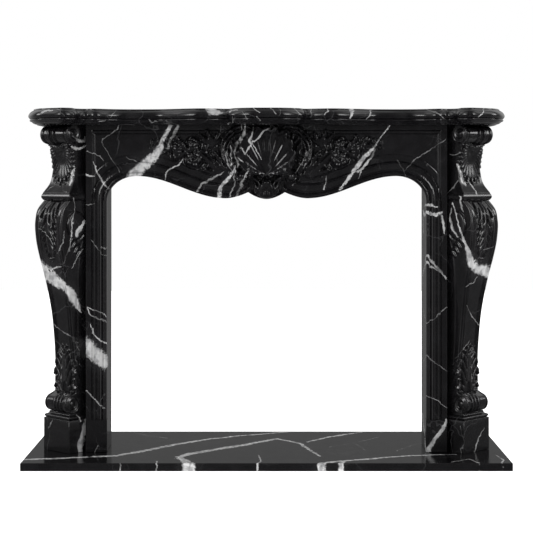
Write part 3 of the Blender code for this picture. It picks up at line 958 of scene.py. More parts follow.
SHELF_VEINS_AND_HIGHLIGHTS = (
    Vein(((204, 106, 4.8), (208, 110.5, 10.4), (216, 111.5, 9.6), (222, 113, 3.2))),
    Vein(((219, 112.5, 2.8), (226, 112, 2.4), (233, 111, 1.2))),
    Vein(((240, 121, 1.6), (238, 117, 1.2), (236, 113, 0.8))),
    Vein(((247, 107, 1.4), (250, 112, 1.9), (253, 115, 1.3))),
    Vein(((264, 107, 1.8), (265, 111, 1.6), (267, 116, 1))),
    Vein(((271, 107, 1), (273, 111, 0.8), (271, 118, 0.7))),
    Vein(((289, 107, 1.4), (294, 112, 1.6), (297, 115, 1))),
    Vein(((353, 105, 11.2), (352, 110, 9.6), (350, 117, 4))),
    Vein(((313, 107, 1.6), (311, 112, 1.4), (310, 117, 0.8))),
    Vein(((328, 107, 1.6), (326, 111, 1.8), (322, 114, 1.3))),
    Vein(((378, 106, 2), (374, 112, 2.4), (370, 118, 1.6))),
    # painted highlight: the bright glint on the shelf's rounded left end, drawn as a broad white vein
    Vein(((39, 113, 2.4), (44, 112, 4.2), (51, 112.5, 2.4))),
    Vein(((53, 108, 0.8), (56, 112, 1.3), (60, 117, 0.8))),
    Vein(((119, 109, 0.7), (114, 113, 1), (111, 118, 0.8))),
    Vein(((99, 122, 1.2), (103, 122.5, 1.6), (107, 121, 0.8))),
    Vein(((153, 119, 1.2), (156, 122, 1.6), (161, 121, 1))),
    Vein(((168, 119, 1), (170, 122, 1.6), (176, 123, 1.2))),
    Vein(((229, 118, 1), (231, 123, 1.4))),
    Vein(((249, 118, 1), (253, 123, 1.4))),
    Vein(((430, 107, 1.2), (436, 113, 1.6), (445, 119, 0.8))),
    Vein(((480, 106, 1.2), (476, 112, 2), (470, 119, 1.2))),
)
LEFT_LEG_VEINS_AND_HIGHLIGHTS = (
    Vein(((36, 269, 24), (43, 272, 23), (50, 276, 20), (56, 282, 17), (64, 286, 15), (71, 291, 13),
          (75, 299, 12), (78, 306, 8), (81, 312, 2))),
    Vein(((45, 191, 0.8), (52, 186, 1.2), (57, 181, 0.9))),
    Vein(((62, 183, 0.9), (64, 190, 1.2), (69, 192, 1))),
    Vein(((74, 236, 0.9), (71.5, 247, 1.5), (66, 263, 1.5), (61, 264, 1.2))),
    Vein(((63, 266.5, 1.7), (57, 268, 2.4), (52, 270, 2))),
    Vein(((67, 231, 0.7), (65.5, 240, 1.3), (62, 249, 1.5), (60, 254, 0.9))),
    Vein(((76, 198, 0.8), (75.5, 209, 0.9), (75.5, 217, 1.2))),
    Vein(((75.5, 217, 1.2), (74.5, 223, 2.4), (73.5, 230, 1.4), (74, 236, 2))),
    Vein(((84, 221, 3), (80, 230, 7), (79, 236, 5))),
    Vein(((86, 419, 5), (84, 431, 6.5), (82, 443, 7), (81, 456, 7))),
    # painted highlights: the two bright curved bands under the capital roll's inner end, drawn as white veins
    Vein(((74, 136, 2), (78, 140.5, 4), (83, 141, 5), (84, 136, 2))),
    Vein(((73, 146, 2), (77, 149, 4), (85, 147, 4))),
    Vein(((76, 168, 2), (74.5, 175, 6), (71.5, 184, 4))),
    Vein(((52, 326, 1), (60, 331, 1.4), (67, 335, 1.5), (72, 337, 1.5), (74, 342, 1.5), (78, 343, 1))),
    Vein(((73, 337, 0.9), (76, 345, 1.3), (79, 351, 0.9))),
    Vein(((56, 383, 0.8), (61, 391, 1.2), (65, 396, 0.9))),
    Vein(((39, 228, 0.8), (45, 231, 1.1), (50, 236, 0.8))),
    Vein(((51, 420, 0.8), (48, 426, 1.3), (46, 430, 0.9))),
    Vein(((84, 249, 1), (78, 258, 1.5), (73, 268, 1.4))),
    Vein(((77, 414, 1.3), (80, 418, 2.4), (81, 421, 1.5))),
)
RIGHT_LEG_VEINS_AND_HIGHLIGHTS = (
    Vein(((499, 275, 22), (491, 273, 21), (483, 271, 16), (475, 268, 14), (469, 261, 12), (466, 252, 7),
          (462, 241, 4), (459, 231, 2.4), (456, 218, 2), (452, 203, 1.6))),
    # painted highlight: the bright left rim of the knee's side oval, drawn as a white vein
    Vein(((450, 208, 1.2), (449.3, 218, 3), (451, 228, 4), (456.5, 237, 2.5))),
    Vein(((458, 196, 1.5), (460, 205, 3), (461, 211, 1.5))),
    Vein(((457, 164, 3), (460, 173, 5), (462, 182, 4), (465, 186, 1.5))),
    Vein(((468, 180, 1.2), (473, 187, 2.6), (477, 194, 1.5))),
    Vein(((448, 193, 1), (453, 188, 1.6), (457, 181, 1.4))),
    Vein(((477, 277, 1), (473, 283, 1.5), (464, 286, 1))),
    Vein(((450, 155, 0.9), (456, 154, 1.4), (460, 152, 0.9))),
    Vein(((482, 250, 0.9), (489, 250, 1.3), (494, 247, 0.9))),
    Vein(((466, 305, 0.8), (474, 318, 1.2), (484, 327, 0.8))),
    Vein(((470, 341, 0.8), (462, 352, 1.2), (456, 358, 0.8))),
    Vein(((486, 430, 0.9), (480, 438, 2.2), (474, 452, 1.5))),
    Vein(((458, 424, 0.8), (462, 438, 1.2), (460, 450, 0.8))),
)
LEFT_PILASTER_VEINS = (
    Vein(((83, 343, 23), (92, 351, 22), (100, 358, 21), (108, 363, 23))),
    Vein(((90, 325, 1.2), (93, 334, 2), (97, 339, 2.4), (107, 345, 2))),
    Vein(((88, 307, 1), (92, 315, 2.4), (99, 319.5, 2.6), (107, 323, 2.2))),
    Vein(((88, 306, 1), (95, 309.5, 1.7), (103, 313, 1.6), (106, 318, 1.2))),
    Vein(((85, 390, 1.2), (91, 395, 1.8), (94, 400, 1.9), (99, 403.5, 2), (105, 409, 1.6))),
    Vein(((99, 403, 0.9), (103, 399, 1.4), (107, 395, 0.9))),
    Vein(((92, 240, 0.8), (98, 247, 1.3), (103, 254, 1.4), (109, 256, 1))),
    Vein(((102, 246, 1), (106, 248, 1.5), (109, 247, 1))),
    Vein(((84, 205, 1), (88, 205, 1.4), (95, 204, 0.9))),
    Vein(((98, 446, 0.8), (95, 451, 1.2), (93, 455, 0.9))),
)
RIGHT_PILASTER_VEINS = (
    Vein(((427, 203.5, 2), (431, 205, 4), (438, 207, 2))),
    Vein(((427, 211, 4), (432, 214, 5.5), (437, 215.5, 6.5), (442, 213, 4))),
    Vein(((442, 216, 2.5), (443.5, 225, 3.5), (444, 234, 2))),
    Vein(((426, 254, 2), (431, 259, 3.5), (437, 267, 3), (446, 278, 2.5))),
    Vein(((423, 265, 3), (428, 263, 4), (434, 268, 2.5), (441, 273, 1.7))),
    Vein(((424, 350, 0.8), (434, 360, 1.4), (449, 372, 0.8))),
    Vein(((449, 306, 0.8), (437, 318, 1.3), (423, 327, 0.8))),
    Vein(((446, 420, 4), (441, 430, 7), (434, 439, 6), (426, 452, 8))),
    Vein(((424, 395, 0.8), (436, 400, 1.2), (449, 410, 0.8))),
)
HEARTH_VEINS = (
    Vein(((20, 459.7, 10.5), (66, 458, 9.9), (116, 455.7, 9.9), (148, 450, 12.4), (180, 443.5, 10.5),
          (212, 438.7, 8.1), (244, 435.4, 6.2), (286, 432.2, 5))),
    Vein(((176, 458.5, 7.4), (190, 453.5, 14.9), (212, 450, 13.6), (244, 445, 13.6), (262, 441.5, 11.2),
          (276, 438.7, 8.7))),
    Vein(((178, 457, 8.7), (186, 462, 16.1), (194, 466, 18.6))),
    Vein(((276, 438.7, 7.4), (289, 441, 5.6), (302, 444, 6.2), (310, 450, 5.6), (321, 456.3, 4.3))),
    Vein(((308, 442, 5.6), (328, 437, 7.4), (360, 432.2, 5.6))),
    Vein(((316, 465, 8.7), (322, 463, 8.7), (341, 461, 8.7), (373, 458.6, 8.7), (405, 455.8, 7.4),
          (436, 454.8, 5.6), (456, 454.6, 3.7))),
    Vein(((338, 465, 8.7), (343, 461.5, 7.4))),
    Vein(((120, 463, 1.9), (124, 466, 3.1))),
    Vein(((157, 461, 1.9), (156, 466, 3.7))),
    Vein(((478, 463, 3.1), (470, 459, 2.5), (452, 462, 1.9))),
    Vein(((502, 463, 3.1), (503, 460, 2.5), (496, 455, 1.9))),
    Vein(((135, 433, 1.4), (152, 436, 3.1), (166, 438, 1.9))),
    Vein(((330, 447, 1.4), (352, 443, 1.6), (378, 437, 1.2))),
    Vein(((352, 443, 1.4), (361, 447, 1.6), (366, 451, 1.2))),
    Vein(((396, 451, 1.4), (412, 445, 1.6), (440, 440, 1.2))),
    Vein(((258, 455, 1.9), (262, 461, 2.5), (254, 465, 1.9))),
)


# The stones of the left leg, which the right one mirrors

LEG_FACE = (-0.6775, -0.0935)
LEG_CORNER = (-0.5803, -0.0113)
ROLL_SWEEP = math.radians(80)
DRUM_STEP = 1.5 * MILLIMETRE
FRONT_COLUMNS = 88
CHEEK_COLUMNS = 28
SIDE_COLUMNS = 34
EDGE_CROWDING = 0.55
CHEEK_DEPTH = 30 * MILLIMETRE
ARRIS = 2.2 * MILLIMETRE

# The leg's border: distance in from the edge, half width, and height as a share of the rim's. Low on
# the leg it is a row of ridges and grooves, and on the knee one broad roll.
LOW_BORDER = ((0.0065, 0.0042, 1.0), (0.0135, 0.0022, -0.80), (0.0180, 0.0020, 0.50), (0.0225, 0.0018, -0.40))
KNEE_BORDER = (0.0130, 0.0134, 1.25)
LOW_BORDER_STARTS = (0.186, 0.200)
KNEE_BORDER_STARTS = (0.58, 0.67)


def spread(count: int) -> np.ndarray:
    """Places from -1 to 1, closer together at both ends."""
    even = np.linspace(-1, 1, count + 1)
    return EDGE_CROWDING * np.sin(even * math.pi / 2) + (1 - EDGE_CROWDING) * even


@dataclass
class Roll:
    """Scroll roll of a leg, lying along its front face.

    Its beads and grooves are each a place along it, a half width and a height.
    """

    middle: float
    radius: float
    half_length: float
    out: float
    beads: tuple[Place, ...]
    hand: int
    levels: int = 46

    def angles(self) -> np.ndarray:
        """Angles of its levels round the drum."""
        return np.linspace(-ROLL_SWEEP, ROLL_SWEEP, self.levels)

    def turned(self, across: np.ndarray) -> np.ndarray:
        """Height of the beads and depth of the grooves that are turned on the drum.

        Args:
            across: places along the roll.

        Returns:
            The heights there.
        """
        height = np.zeros(across.shape)
        for place, width, rise in self.beads:
            swell = rise * half_round((across - place) / width)
            height = np.where(np.abs(swell) > np.abs(height), swell, height)
        return height


@dataclass
class LegStone:
    """A stone of the left leg, wrapped round its levels.

    Each level has a height, the places of its front and of its cheeks' back edge, counted outward
    from the middle of the leg's face, and its half widths in front and behind the cheeks.
    """

    name: str
    height: np.ndarray
    front: np.ndarray
    back: np.ndarray
    half_front: np.ndarray
    half_body: np.ndarray
    carve_front: Callable[[Relief], None] | None = None
    carve_side: Callable[[Relief], None] | None = None
    rim: float = 0.0
    rolls: tuple[Roll, ...] = ()
    carved: Spot = (0.0, 2.0)
    arris: float = ARRIS

    def front_sheet(self) -> tuple[np.ndarray, np.ndarray, np.ndarray]:
        """The front face.

        Returns:
            Places across, places out and heights, by level and column.
        """
        across = self.half_front[:, None] * spread(FRONT_COLUMNS)
        height = np.broadcast_to(self.height[:, None], across.shape)
        out = np.broadcast_to(self.front[:, None], across.shape).copy()
        for roll in self.rolls:
            rise = roll.radius + roll.turned(across)
            drum = roll.out + np.sqrt(np.clip(rise ** 2 - (height - roll.middle) ** 2, 0, None))
            on_roll = np.abs(height - roll.middle) <= roll.radius * math.sin(ROLL_SWEEP) + WELD
            out = np.where(on_roll, drum, out)
        edge = self.half_front[:, None] - np.abs(across)
        plain = np.zeros(across.shape)
        if self.rim:
            lower = sum(share * ridge(edge - place, width) for place, width, share in LOW_BORDER)
            lower = lower * smoothstep(*LOW_BORDER_STARTS, height)
            place, width, share = KNEE_BORDER
            upper = share * half_round((edge - place) / width)
            plain = self.rim * (lower + (upper - lower) * smoothstep(*KNEE_BORDER_STARTS, height))
        relief = Relief(across, height, trench=4.4 * MILLIMETRE)
        if self.carve_front:
            self.carve_front(relief)
        low, high = self.carved
        ending = 3 * MILLIMETRE
        inside = smoothstep(low, low + ending, height) * (1 - smoothstep(high - ending, high, height))
        relief.height *= inside
        relief.ground *= inside
        out = out + relief.over(plain)
        fallen = np.clip(1 - edge / self.arris, 0, 1)
        out = out - self.arris * (1 - np.sqrt(1 - fallen ** 2))
        return across, out, height

    def side_sheet(self, depth: float) -> tuple[np.ndarray, np.ndarray]:
        """One side face, from the front backward.

        Args:
            depth: how far behind the middle line's crossing the side ends.

        Returns:
            Places across, before the side's sign, and places out, by level and column.
        """
        cheek = (np.arange(CHEEK_COLUMNS) + 1) / CHEEK_COLUMNS
        run = np.arange(SIDE_COLUMNS + 1) / SIDE_COLUMNS
        front = self.front - self.arris
        start, end = self.back - DRUM_STEP, self.half_body - depth
        out = np.concatenate((front[:, None] + (self.back - front)[:, None] * cheek,
                              start[:, None] + (end - start)[:, None] * run), axis=1)
        across = np.concatenate((np.repeat(self.half_front[:, None], CHEEK_COLUMNS, axis=1),
                                 np.repeat(self.half_body[:, None], SIDE_COLUMNS + 1, axis=1)), axis=1)
        height = np.broadcast_to(self.height[:, None], across.shape)
        relief = Relief(out, height, trench=2.0 * MILLIMETRE)
        if self.carve_side:
            self.carve_side(relief)
        raised = relief.over(np.zeros(across.shape))
        hollow = np.zeros(across.shape)
        for roll in self.rolls:
            reach = np.hypot(out - roll.out, height - roll.middle) / roll.radius
            disc = Relief(out, height)
            disc.volute(roll.out, roll.middle, roll.radius, 5.0 * MILLIMETRE, roll.hand, turns=1.9)
            on_disc = (reach < 1.02) & (across > self.half_body[:, None] - WELD)
            on_disc &= np.arange(across.shape[1]) < CHEEK_COLUMNS
            sunk = 4.0 * MILLIMETRE * np.clip(8 * (1 - reach), 0, 1)
            hollow = np.where(on_disc, disc.height - sunk, hollow)
        blend_out = np.clip((out - end[:, None]) / (4 * MILLIMETRE), 0, 1)
        return across + (raised + hollow) * blend_out, out

    def build(self) -> bpy.types.Object:
        """Models the stone.

        Returns:
            The new object.
        """
        across, out, height = self.front_sheet()
        inner_depth, outer_depth = ((corner - face) / DIAGONAL for corner, face in zip(LEG_CORNER, LEG_FACE))
        inner_across, inner_out = self.side_sheet(inner_depth)
        outer_across, outer_out = self.side_sheet(outer_depth)
        corner_across, corner_out = (inner_depth - outer_depth) / 2, -(inner_depth + outer_depth) / 2
        ones = np.ones((len(self.height), 1))
        across = np.concatenate((across, inner_across, ones * corner_across, -outer_across[:, ::-1]), axis=1)
        out = np.concatenate((out, inner_out, ones * corner_out, outer_out[:, ::-1]), axis=1)
        height = np.broadcast_to(self.height[:, None], out.shape)
        rings = np.stack((LEG_FACE[0] + DIAGONAL * (across - out), LEG_FACE[1] - DIAGONAL * (across + out),
                          HEARTH_TOP + height), axis=-1)
        return wrapped(self.name, rings)


@dataclass
class Leg:
    """Canted leg of three stones: block, console and capital.

    A strand of its leaves has a spine, a half width, a height and the radius of its curled tip. The
    front lines and half widths are curves over the height.
    """

    seam: float = 0.808
    shelf_underside: float = 1.050
    block_top: float = 0.127
    block_half: float = 0.0658
    band_half: float = 0.071
    cheek: Spot = (-0.028, 0.730)
    cheek_radii: Spot = (0.036, 0.044)
    cheek_rise: float = 5.8 * MILLIMETRE
    console_out: Path = ((0.190, -0.036), (0.294, -0.035), (0.371, -0.0285), (0.474, -0.016), (0.552, -0.001),
                         (0.629, 0.018), (0.690, 0.029), (0.745, 0.030), (0.784, 0.019), (0.808, -0.003))
    console_half: Path = ((0.190, 0.055), (0.242, 0.054), (0.340, 0.0505), (0.423, 0.0505), (0.552, 0.059),
                          (0.655, 0.067), (0.735, 0.070), (0.808, 0.068))
    neck_out: Path = ((0.833, 0.002), (0.862, -0.018), (0.900, -0.028), (0.930, -0.0295), (0.990, -0.016))
    neck_half: Path = ((0.833, 0.070), (0.862, 0.061), (0.900, 0.058), (0.990, 0.059))
    knee_strands: tuple[Strand, ...] = (
        (((0.0190, 0.8070), (0.0280, 0.7930), (0.0350, 0.7760), (0.0400, 0.7570)), 0.00638, 0.00957, 0.0046),
        (((0.0110, 0.8070), (0.0160, 0.7850), (0.0180, 0.7650), (0.0210, 0.7420), (0.0280, 0.7210)),
         0.00748, 0.01044, 0.0056),
        (((0.0100, 0.7680), (0.0210, 0.7540), (0.0340, 0.7380)), 0.00550, 0.00812, 0.0042),
        (((0.0030, 0.7400), (0.0150, 0.7220), (0.0280, 0.7080), (0.0330, 0.6990)), 0.00660, 0.00783, 0.0040),
        (((0.0030, 0.7200), (0.0135, 0.7020), (0.0255, 0.6880), (0.0300, 0.6790)), 0.00616, 0.00754, 0.0038),
        (((0.0025, 0.6980), (0.0115, 0.6810), (0.0215, 0.6670), (0.0255, 0.6580)), 0.00572, 0.00725, 0.0036),
        (((0.0025, 0.6780), (0.0100, 0.6620), (0.0180, 0.6490), (0.0215, 0.6400)), 0.00517, 0.00667, 0.0034),
        (((0.0020, 0.6600), (0.0080, 0.6460), (0.0130, 0.6350), (0.0155, 0.6270)), 0.00462, 0.00609, 0.0030))
    foot_strands: tuple[Strand, ...] = (
        (((0.0200, 0.1830), (0.0360, 0.1900), (0.0460, 0.1930)), 0.00572, 0.00580, 0.0040),
        (((0.0140, 0.1840), (0.0300, 0.2060), (0.0440, 0.2140), (0.0500, 0.2040)), 0.00682, 0.00696, 0.0050),
        (((0.0100, 0.1840), (0.0200, 0.2220), (0.0350, 0.2550), (0.0465, 0.2610), (0.0500, 0.2460)),
         0.00792, 0.00812, 0.0058),
        (((0.0080, 0.2250), (0.0180, 0.2620), (0.0310, 0.2880), (0.0410, 0.2920), (0.0440, 0.2810)),
         0.00660, 0.00754, 0.0050),
        (((0.0070, 0.2620), (0.0140, 0.2920), (0.0250, 0.3100), (0.0330, 0.3110), (0.0360, 0.3020)),
         0.00572, 0.00696, 0.0044),
        (((0.0050, 0.2900), (0.0100, 0.3140), (0.0180, 0.3250), (0.0245, 0.3240)), 0.00473, 0.00638, 0.0038))

    def carve_console(self, face: Relief) -> None:
        """Carves the knee's hanging leaf and the foot's rising leaf, with their stems and drops.

        Args:
            face: the console's front.
        """
        for side in (-1, 1):
            for spots, width, rise, curl in self.knee_strands + self.foot_strands:
                face.blade([(side * x, z) for x, z in spots], width, rise, curl=curl, root=0.60, groove=0.12)
            stem = [(side * 0.0090, 0.184), (side * 0.0080, 0.250), (side * 0.0050, 0.312)]
            face.rib(stem, width=0.0040, rise=0.0060, taper=0.4)
            face.ball(side * 0.0100, 0.3365, radius=0.0066, rise=0.0080)
            face.ball(side * 0.0058, 0.6205, radius=0.0058, rise=0.0070)
        knee_stem = [(0, 0.640), (0, 0.690), (0, 0.750), (0, 0.812)]
        face.blade(knee_stem, width=0.0092, rise=0.0098, groove=0.12)
        face.ball(0, 0.6110, radius=0.0042, rise=0.0050)
        face.rib([(0, 0.182), (0, 0.250), (0, 0.324)], width=0.0048, rise=0.0070)

    def carve_console_side(self, face: Relief) -> None:
        """Carves the knee's round cheek with the small leaves under it, and the foot's side leaves.

        Args:
            face: the console's side.
        """
        out, z = self.cheek
        wide, high = self.cheek_radii
        near = face.window([self.cheek], 1.5 * high)
        reach = np.hypot((face.x[near] - out) / wide, (face.z[near] - z) / high)
        dome = half_round(reach / 1.02)
        face.lay(near, self.cheek_rise * (0.4 * (reach < 0.98) + 0.6 * dome), (reach - 1.0) * 9)
        face.ground[near] *= 2.6
        for tip, level in ((-0.004, 0.676), (-0.014, 0.658), (-0.024, 0.642), (-0.034, 0.628)):
            face.blade([(tip - 0.026, level + 0.010), (tip - 0.012, level + 0.012), (tip, level)],
                       width=0.0065, rise=0.0040, curl=0.0030)
        for level in (0.248, 0.205, 0.286):
            face.blade([(-0.056, level - 0.020), (-0.046, level - 0.004), (-0.041, level + 0.006)],
                       width=0.0052, rise=0.0048, curl=0.0034)
        face.rib([(-0.060, 0.690), (-0.048, 0.640), (-0.044, 0.560), (-0.050, 0.420), (-0.056, 0.260)],
                 width=0.0028, rise=0.0022, taper=0.3)

    def carve_neck(self, face: Relief) -> None:
        """Carves the neck's leaf, which hangs like a shell from the roll, with its drop.

        Args:
            face: the capital's front.
        """
        half = [6, 18, 29, 40, 52, 64, 77, 90, 104, 118]
        ridges = [-angle for angle in reversed(half)] + half
        lengths = [(0, 0.094), (0.4, 0.090), (0.8, 0.072), (1.15, 0.060), (1.55, 0.054), (2.1, 0.046)]
        face.fan(0, 0.9680, ridges, lengths, rise=0.0125, hollow=0.44, tip=0.08, sharp=2.4, down=True)
        for side in (-1, 1):
            for across in (0.006, 0.018, 0.030):
                root = [(side * across, 0.996), (side * across * 0.8, 0.982), (side * across * 0.4, 0.968)]
                face.rib(root, width=0.0050, rise=0.0120)
            ear = [(side * 0.022, 0.960), (side * 0.034, 0.984), (side * 0.052, 0.988)]
            face.blade(ear, width=0.0075, rise=0.0105, curl=0.0040)
        face.ball(0, 0.8650, radius=0.0070, rise=0.0085)

    def body(self, heights: np.ndarray, outs: Path, halves: Path) -> tuple[np.ndarray, ...]:
        """Levels of a curved stretch.

        Args:
            heights: its levels.
            outs: knots of its front line.
            halves: knots of its half width.

        Returns:
            Heights, fronts, backs, half widths in front and half widths behind.
        """
        out, half = through(outs, heights), through(halves, heights)
        return heights, out, out - CHEEK_DEPTH, half, half

    def roll_levels(self, roll: Roll, half_body: float) -> tuple[np.ndarray, ...]:
        """Levels of a roll, in the same order as a curved stretch's.

        Args:
            roll: the roll.
            half_body: half width of the stone behind it.

        Returns:
            Heights, fronts, backs, half widths in front and half widths behind.
        """
        angles = roll.angles()
        chord = roll.radius * np.cos(angles)
        ones = np.ones(len(angles))
        return (roll.middle + roll.radius * np.sin(angles), roll.out + chord, roll.out - chord,
                ones * roll.half_length, ones * half_body)

    def block(self) -> LegStone:
        """The plain block with its moulded cap.

        Returns:
            The stone, not yet modelled.
        """
        cap = [*arc((0.1053, -0.0050), (0.1070, -0.0045), 0, 1),
               *arc((0.1070, -0.0045), (0.1170, -0.0045), 0.0036, 10), (0.1172, -0.0064),
               *arc((0.1180, -0.0066), (0.1240, -0.0122), -0.0018, 8), (0.1262, -0.0126), (0.127, -0.0135)]
        shaft = [(GAP, -0.0010), (GAP + 0.0008, 0.0), (0.035, 0.0), (0.070, 0.0), (0.1042, 0.0),
                 (0.1050, -0.0008)]
        height, inset = np.array(shaft + cap).T
        half = self.block_half + inset
        return LegStone("leg_block_left", height, inset, inset - CHEEK_DEPTH, half, half, arris=0.0012)

    def console(self) -> LegStone:
        """The carved console over its roll.

        Returns:
            The stone, not yet modelled.
        """
        radius = 0.0275
        beads = ((-0.0480, 0.0032, -0.0030), (-0.0060, 0.0050, 0.0036), (0.0095, 0.0050, 0.0036),
                 (-0.0135, 0.0026, -0.0026), (0.0018, 0.0026, -0.0030), (0.0172, 0.0026, -0.0030),
                 (0.0250, 0.0050, 0.0036), (0.0325, 0.0026, -0.0026), (0.0480, 0.0080, 0.0030))
        roll = Roll(middle=self.block_top + GAP + radius * math.sin(ROLL_SWEEP), radius=radius,
                    half_length=0.0565, out=-0.024, beads=beads, hand=1)
        heights = np.arange(0.190, self.seam + 0.0001, (self.seam - 0.190) / 322)
        parts = (self.roll_levels(roll, 0.055), self.body(heights, self.console_out, self.console_half))
        levels = [np.concatenate(group) for group in zip(*parts)]
        return LegStone("leg_console_left", *levels, self.carve_console, self.carve_console_side,
                        rim=3.6 * MILLIMETRE, rolls=(roll,), carved=(0.187, 0.8065))

    def capital(self) -> LegStone:
        """The neck over its band, with the roll on top.

        Returns:
            The stone, not yet modelled.
        """
        bottom = self.seam + GAP
        band = np.array(arc((bottom, -0.003), (0.8308, 0.001), 0.0055, 16))
        heights = np.linspace(0.8325, 0.990, 98)
        radius = 0.0285
        beads = ((-0.0530, 0.0036, -0.0036), (-0.0640, 0.0046, 0.0016), (-0.0260, 0.0058, 0.0036),
                 (-0.0340, 0.0024, -0.0026), (-0.0180, 0.0024, -0.0034), (-0.0130, 0.0028, 0.0016),
                 (-0.0082, 0.0024, -0.0034), (0.0, 0.0062, 0.0036), (0.0085, 0.0026, -0.0034),
                 (0.0545, 0.0030, -0.0034), (0.0650, 0.0046, 0.0022))
        roll = Roll(middle=self.shelf_underside - radius * math.sin(ROLL_SWEEP), radius=radius,
                    half_length=0.0700, out=-0.016, beads=beads, hand=-1, levels=50)
        half = self.band_half + band[:, 1]
        ring = (band[:, 0], band[:, 1], band[:, 1] - CHEEK_DEPTH, half, half)
        parts = (ring, self.body(heights, self.neck_out, self.neck_half), self.roll_levels(roll, 0.059))
        levels = [np.concatenate(group) for group in zip(*parts)]
        return LegStone("leg_capital_left", *levels, self.carve_neck, rolls=(roll,), carved=(0.850, 0.993))

    def build(self) -> dict[Side, list[bpy.types.Object]]:
        """Models both legs' stones and puts them in place of their nodes.

        Returns:
            The stones of each side.
        """
        stones = {Side.LEFT: [], Side.RIGHT: []}
        for stone, node in ((self.block(), "base_block"), (self.console(), "console"),
                            (self.capital(), "capital")):
            left = stone.build()
            right = mirrored(left, left.name.replace("_left", "_right"))
            stands_for(left, node + "_left")
            stands_for(right, node + "_right")
            stones[Side.LEFT].append(left)
            stones[Side.RIGHT].append(right)
        return stones


# The moulding round the opening, which the frieze and the pilasters share: distance in from its
# edge line, and height over the front plane

MOULDING = np.array([
    (0.0, -0.012), (0.0006, -0.0105), (0.0018, -0.0090), (0.003, -0.0080), (0.0036, -0.0072),
    (0.0048, -0.0063), (0.0065, -0.0059), (0.0082, -0.0064), (0.0093, -0.0074), (0.0100, -0.0086),
    (0.0104, -0.0112), (0.0120, -0.0118), (0.0132, -0.0108), (0.0150, -0.0086), (0.0175, -0.0062),
    (0.0200, -0.0042), (0.0222, -0.0032), (0.0226, -0.0020), (0.0240, -0.0022), (0.0280, -0.0036),
    (0.0330, -0.0046), (0.0380, -0.0044), (0.0402, -0.0034), (0.0410, -0.0014), (0.0418, 0.0006),
    (0.0430, 0.0014), (0.0442, 0.0006), (0.0452, -0.0014), (0.0462, -0.0030), (0.0474, -0.0024),
    (0.0484, 0.0), (0.0495, 0.0)])


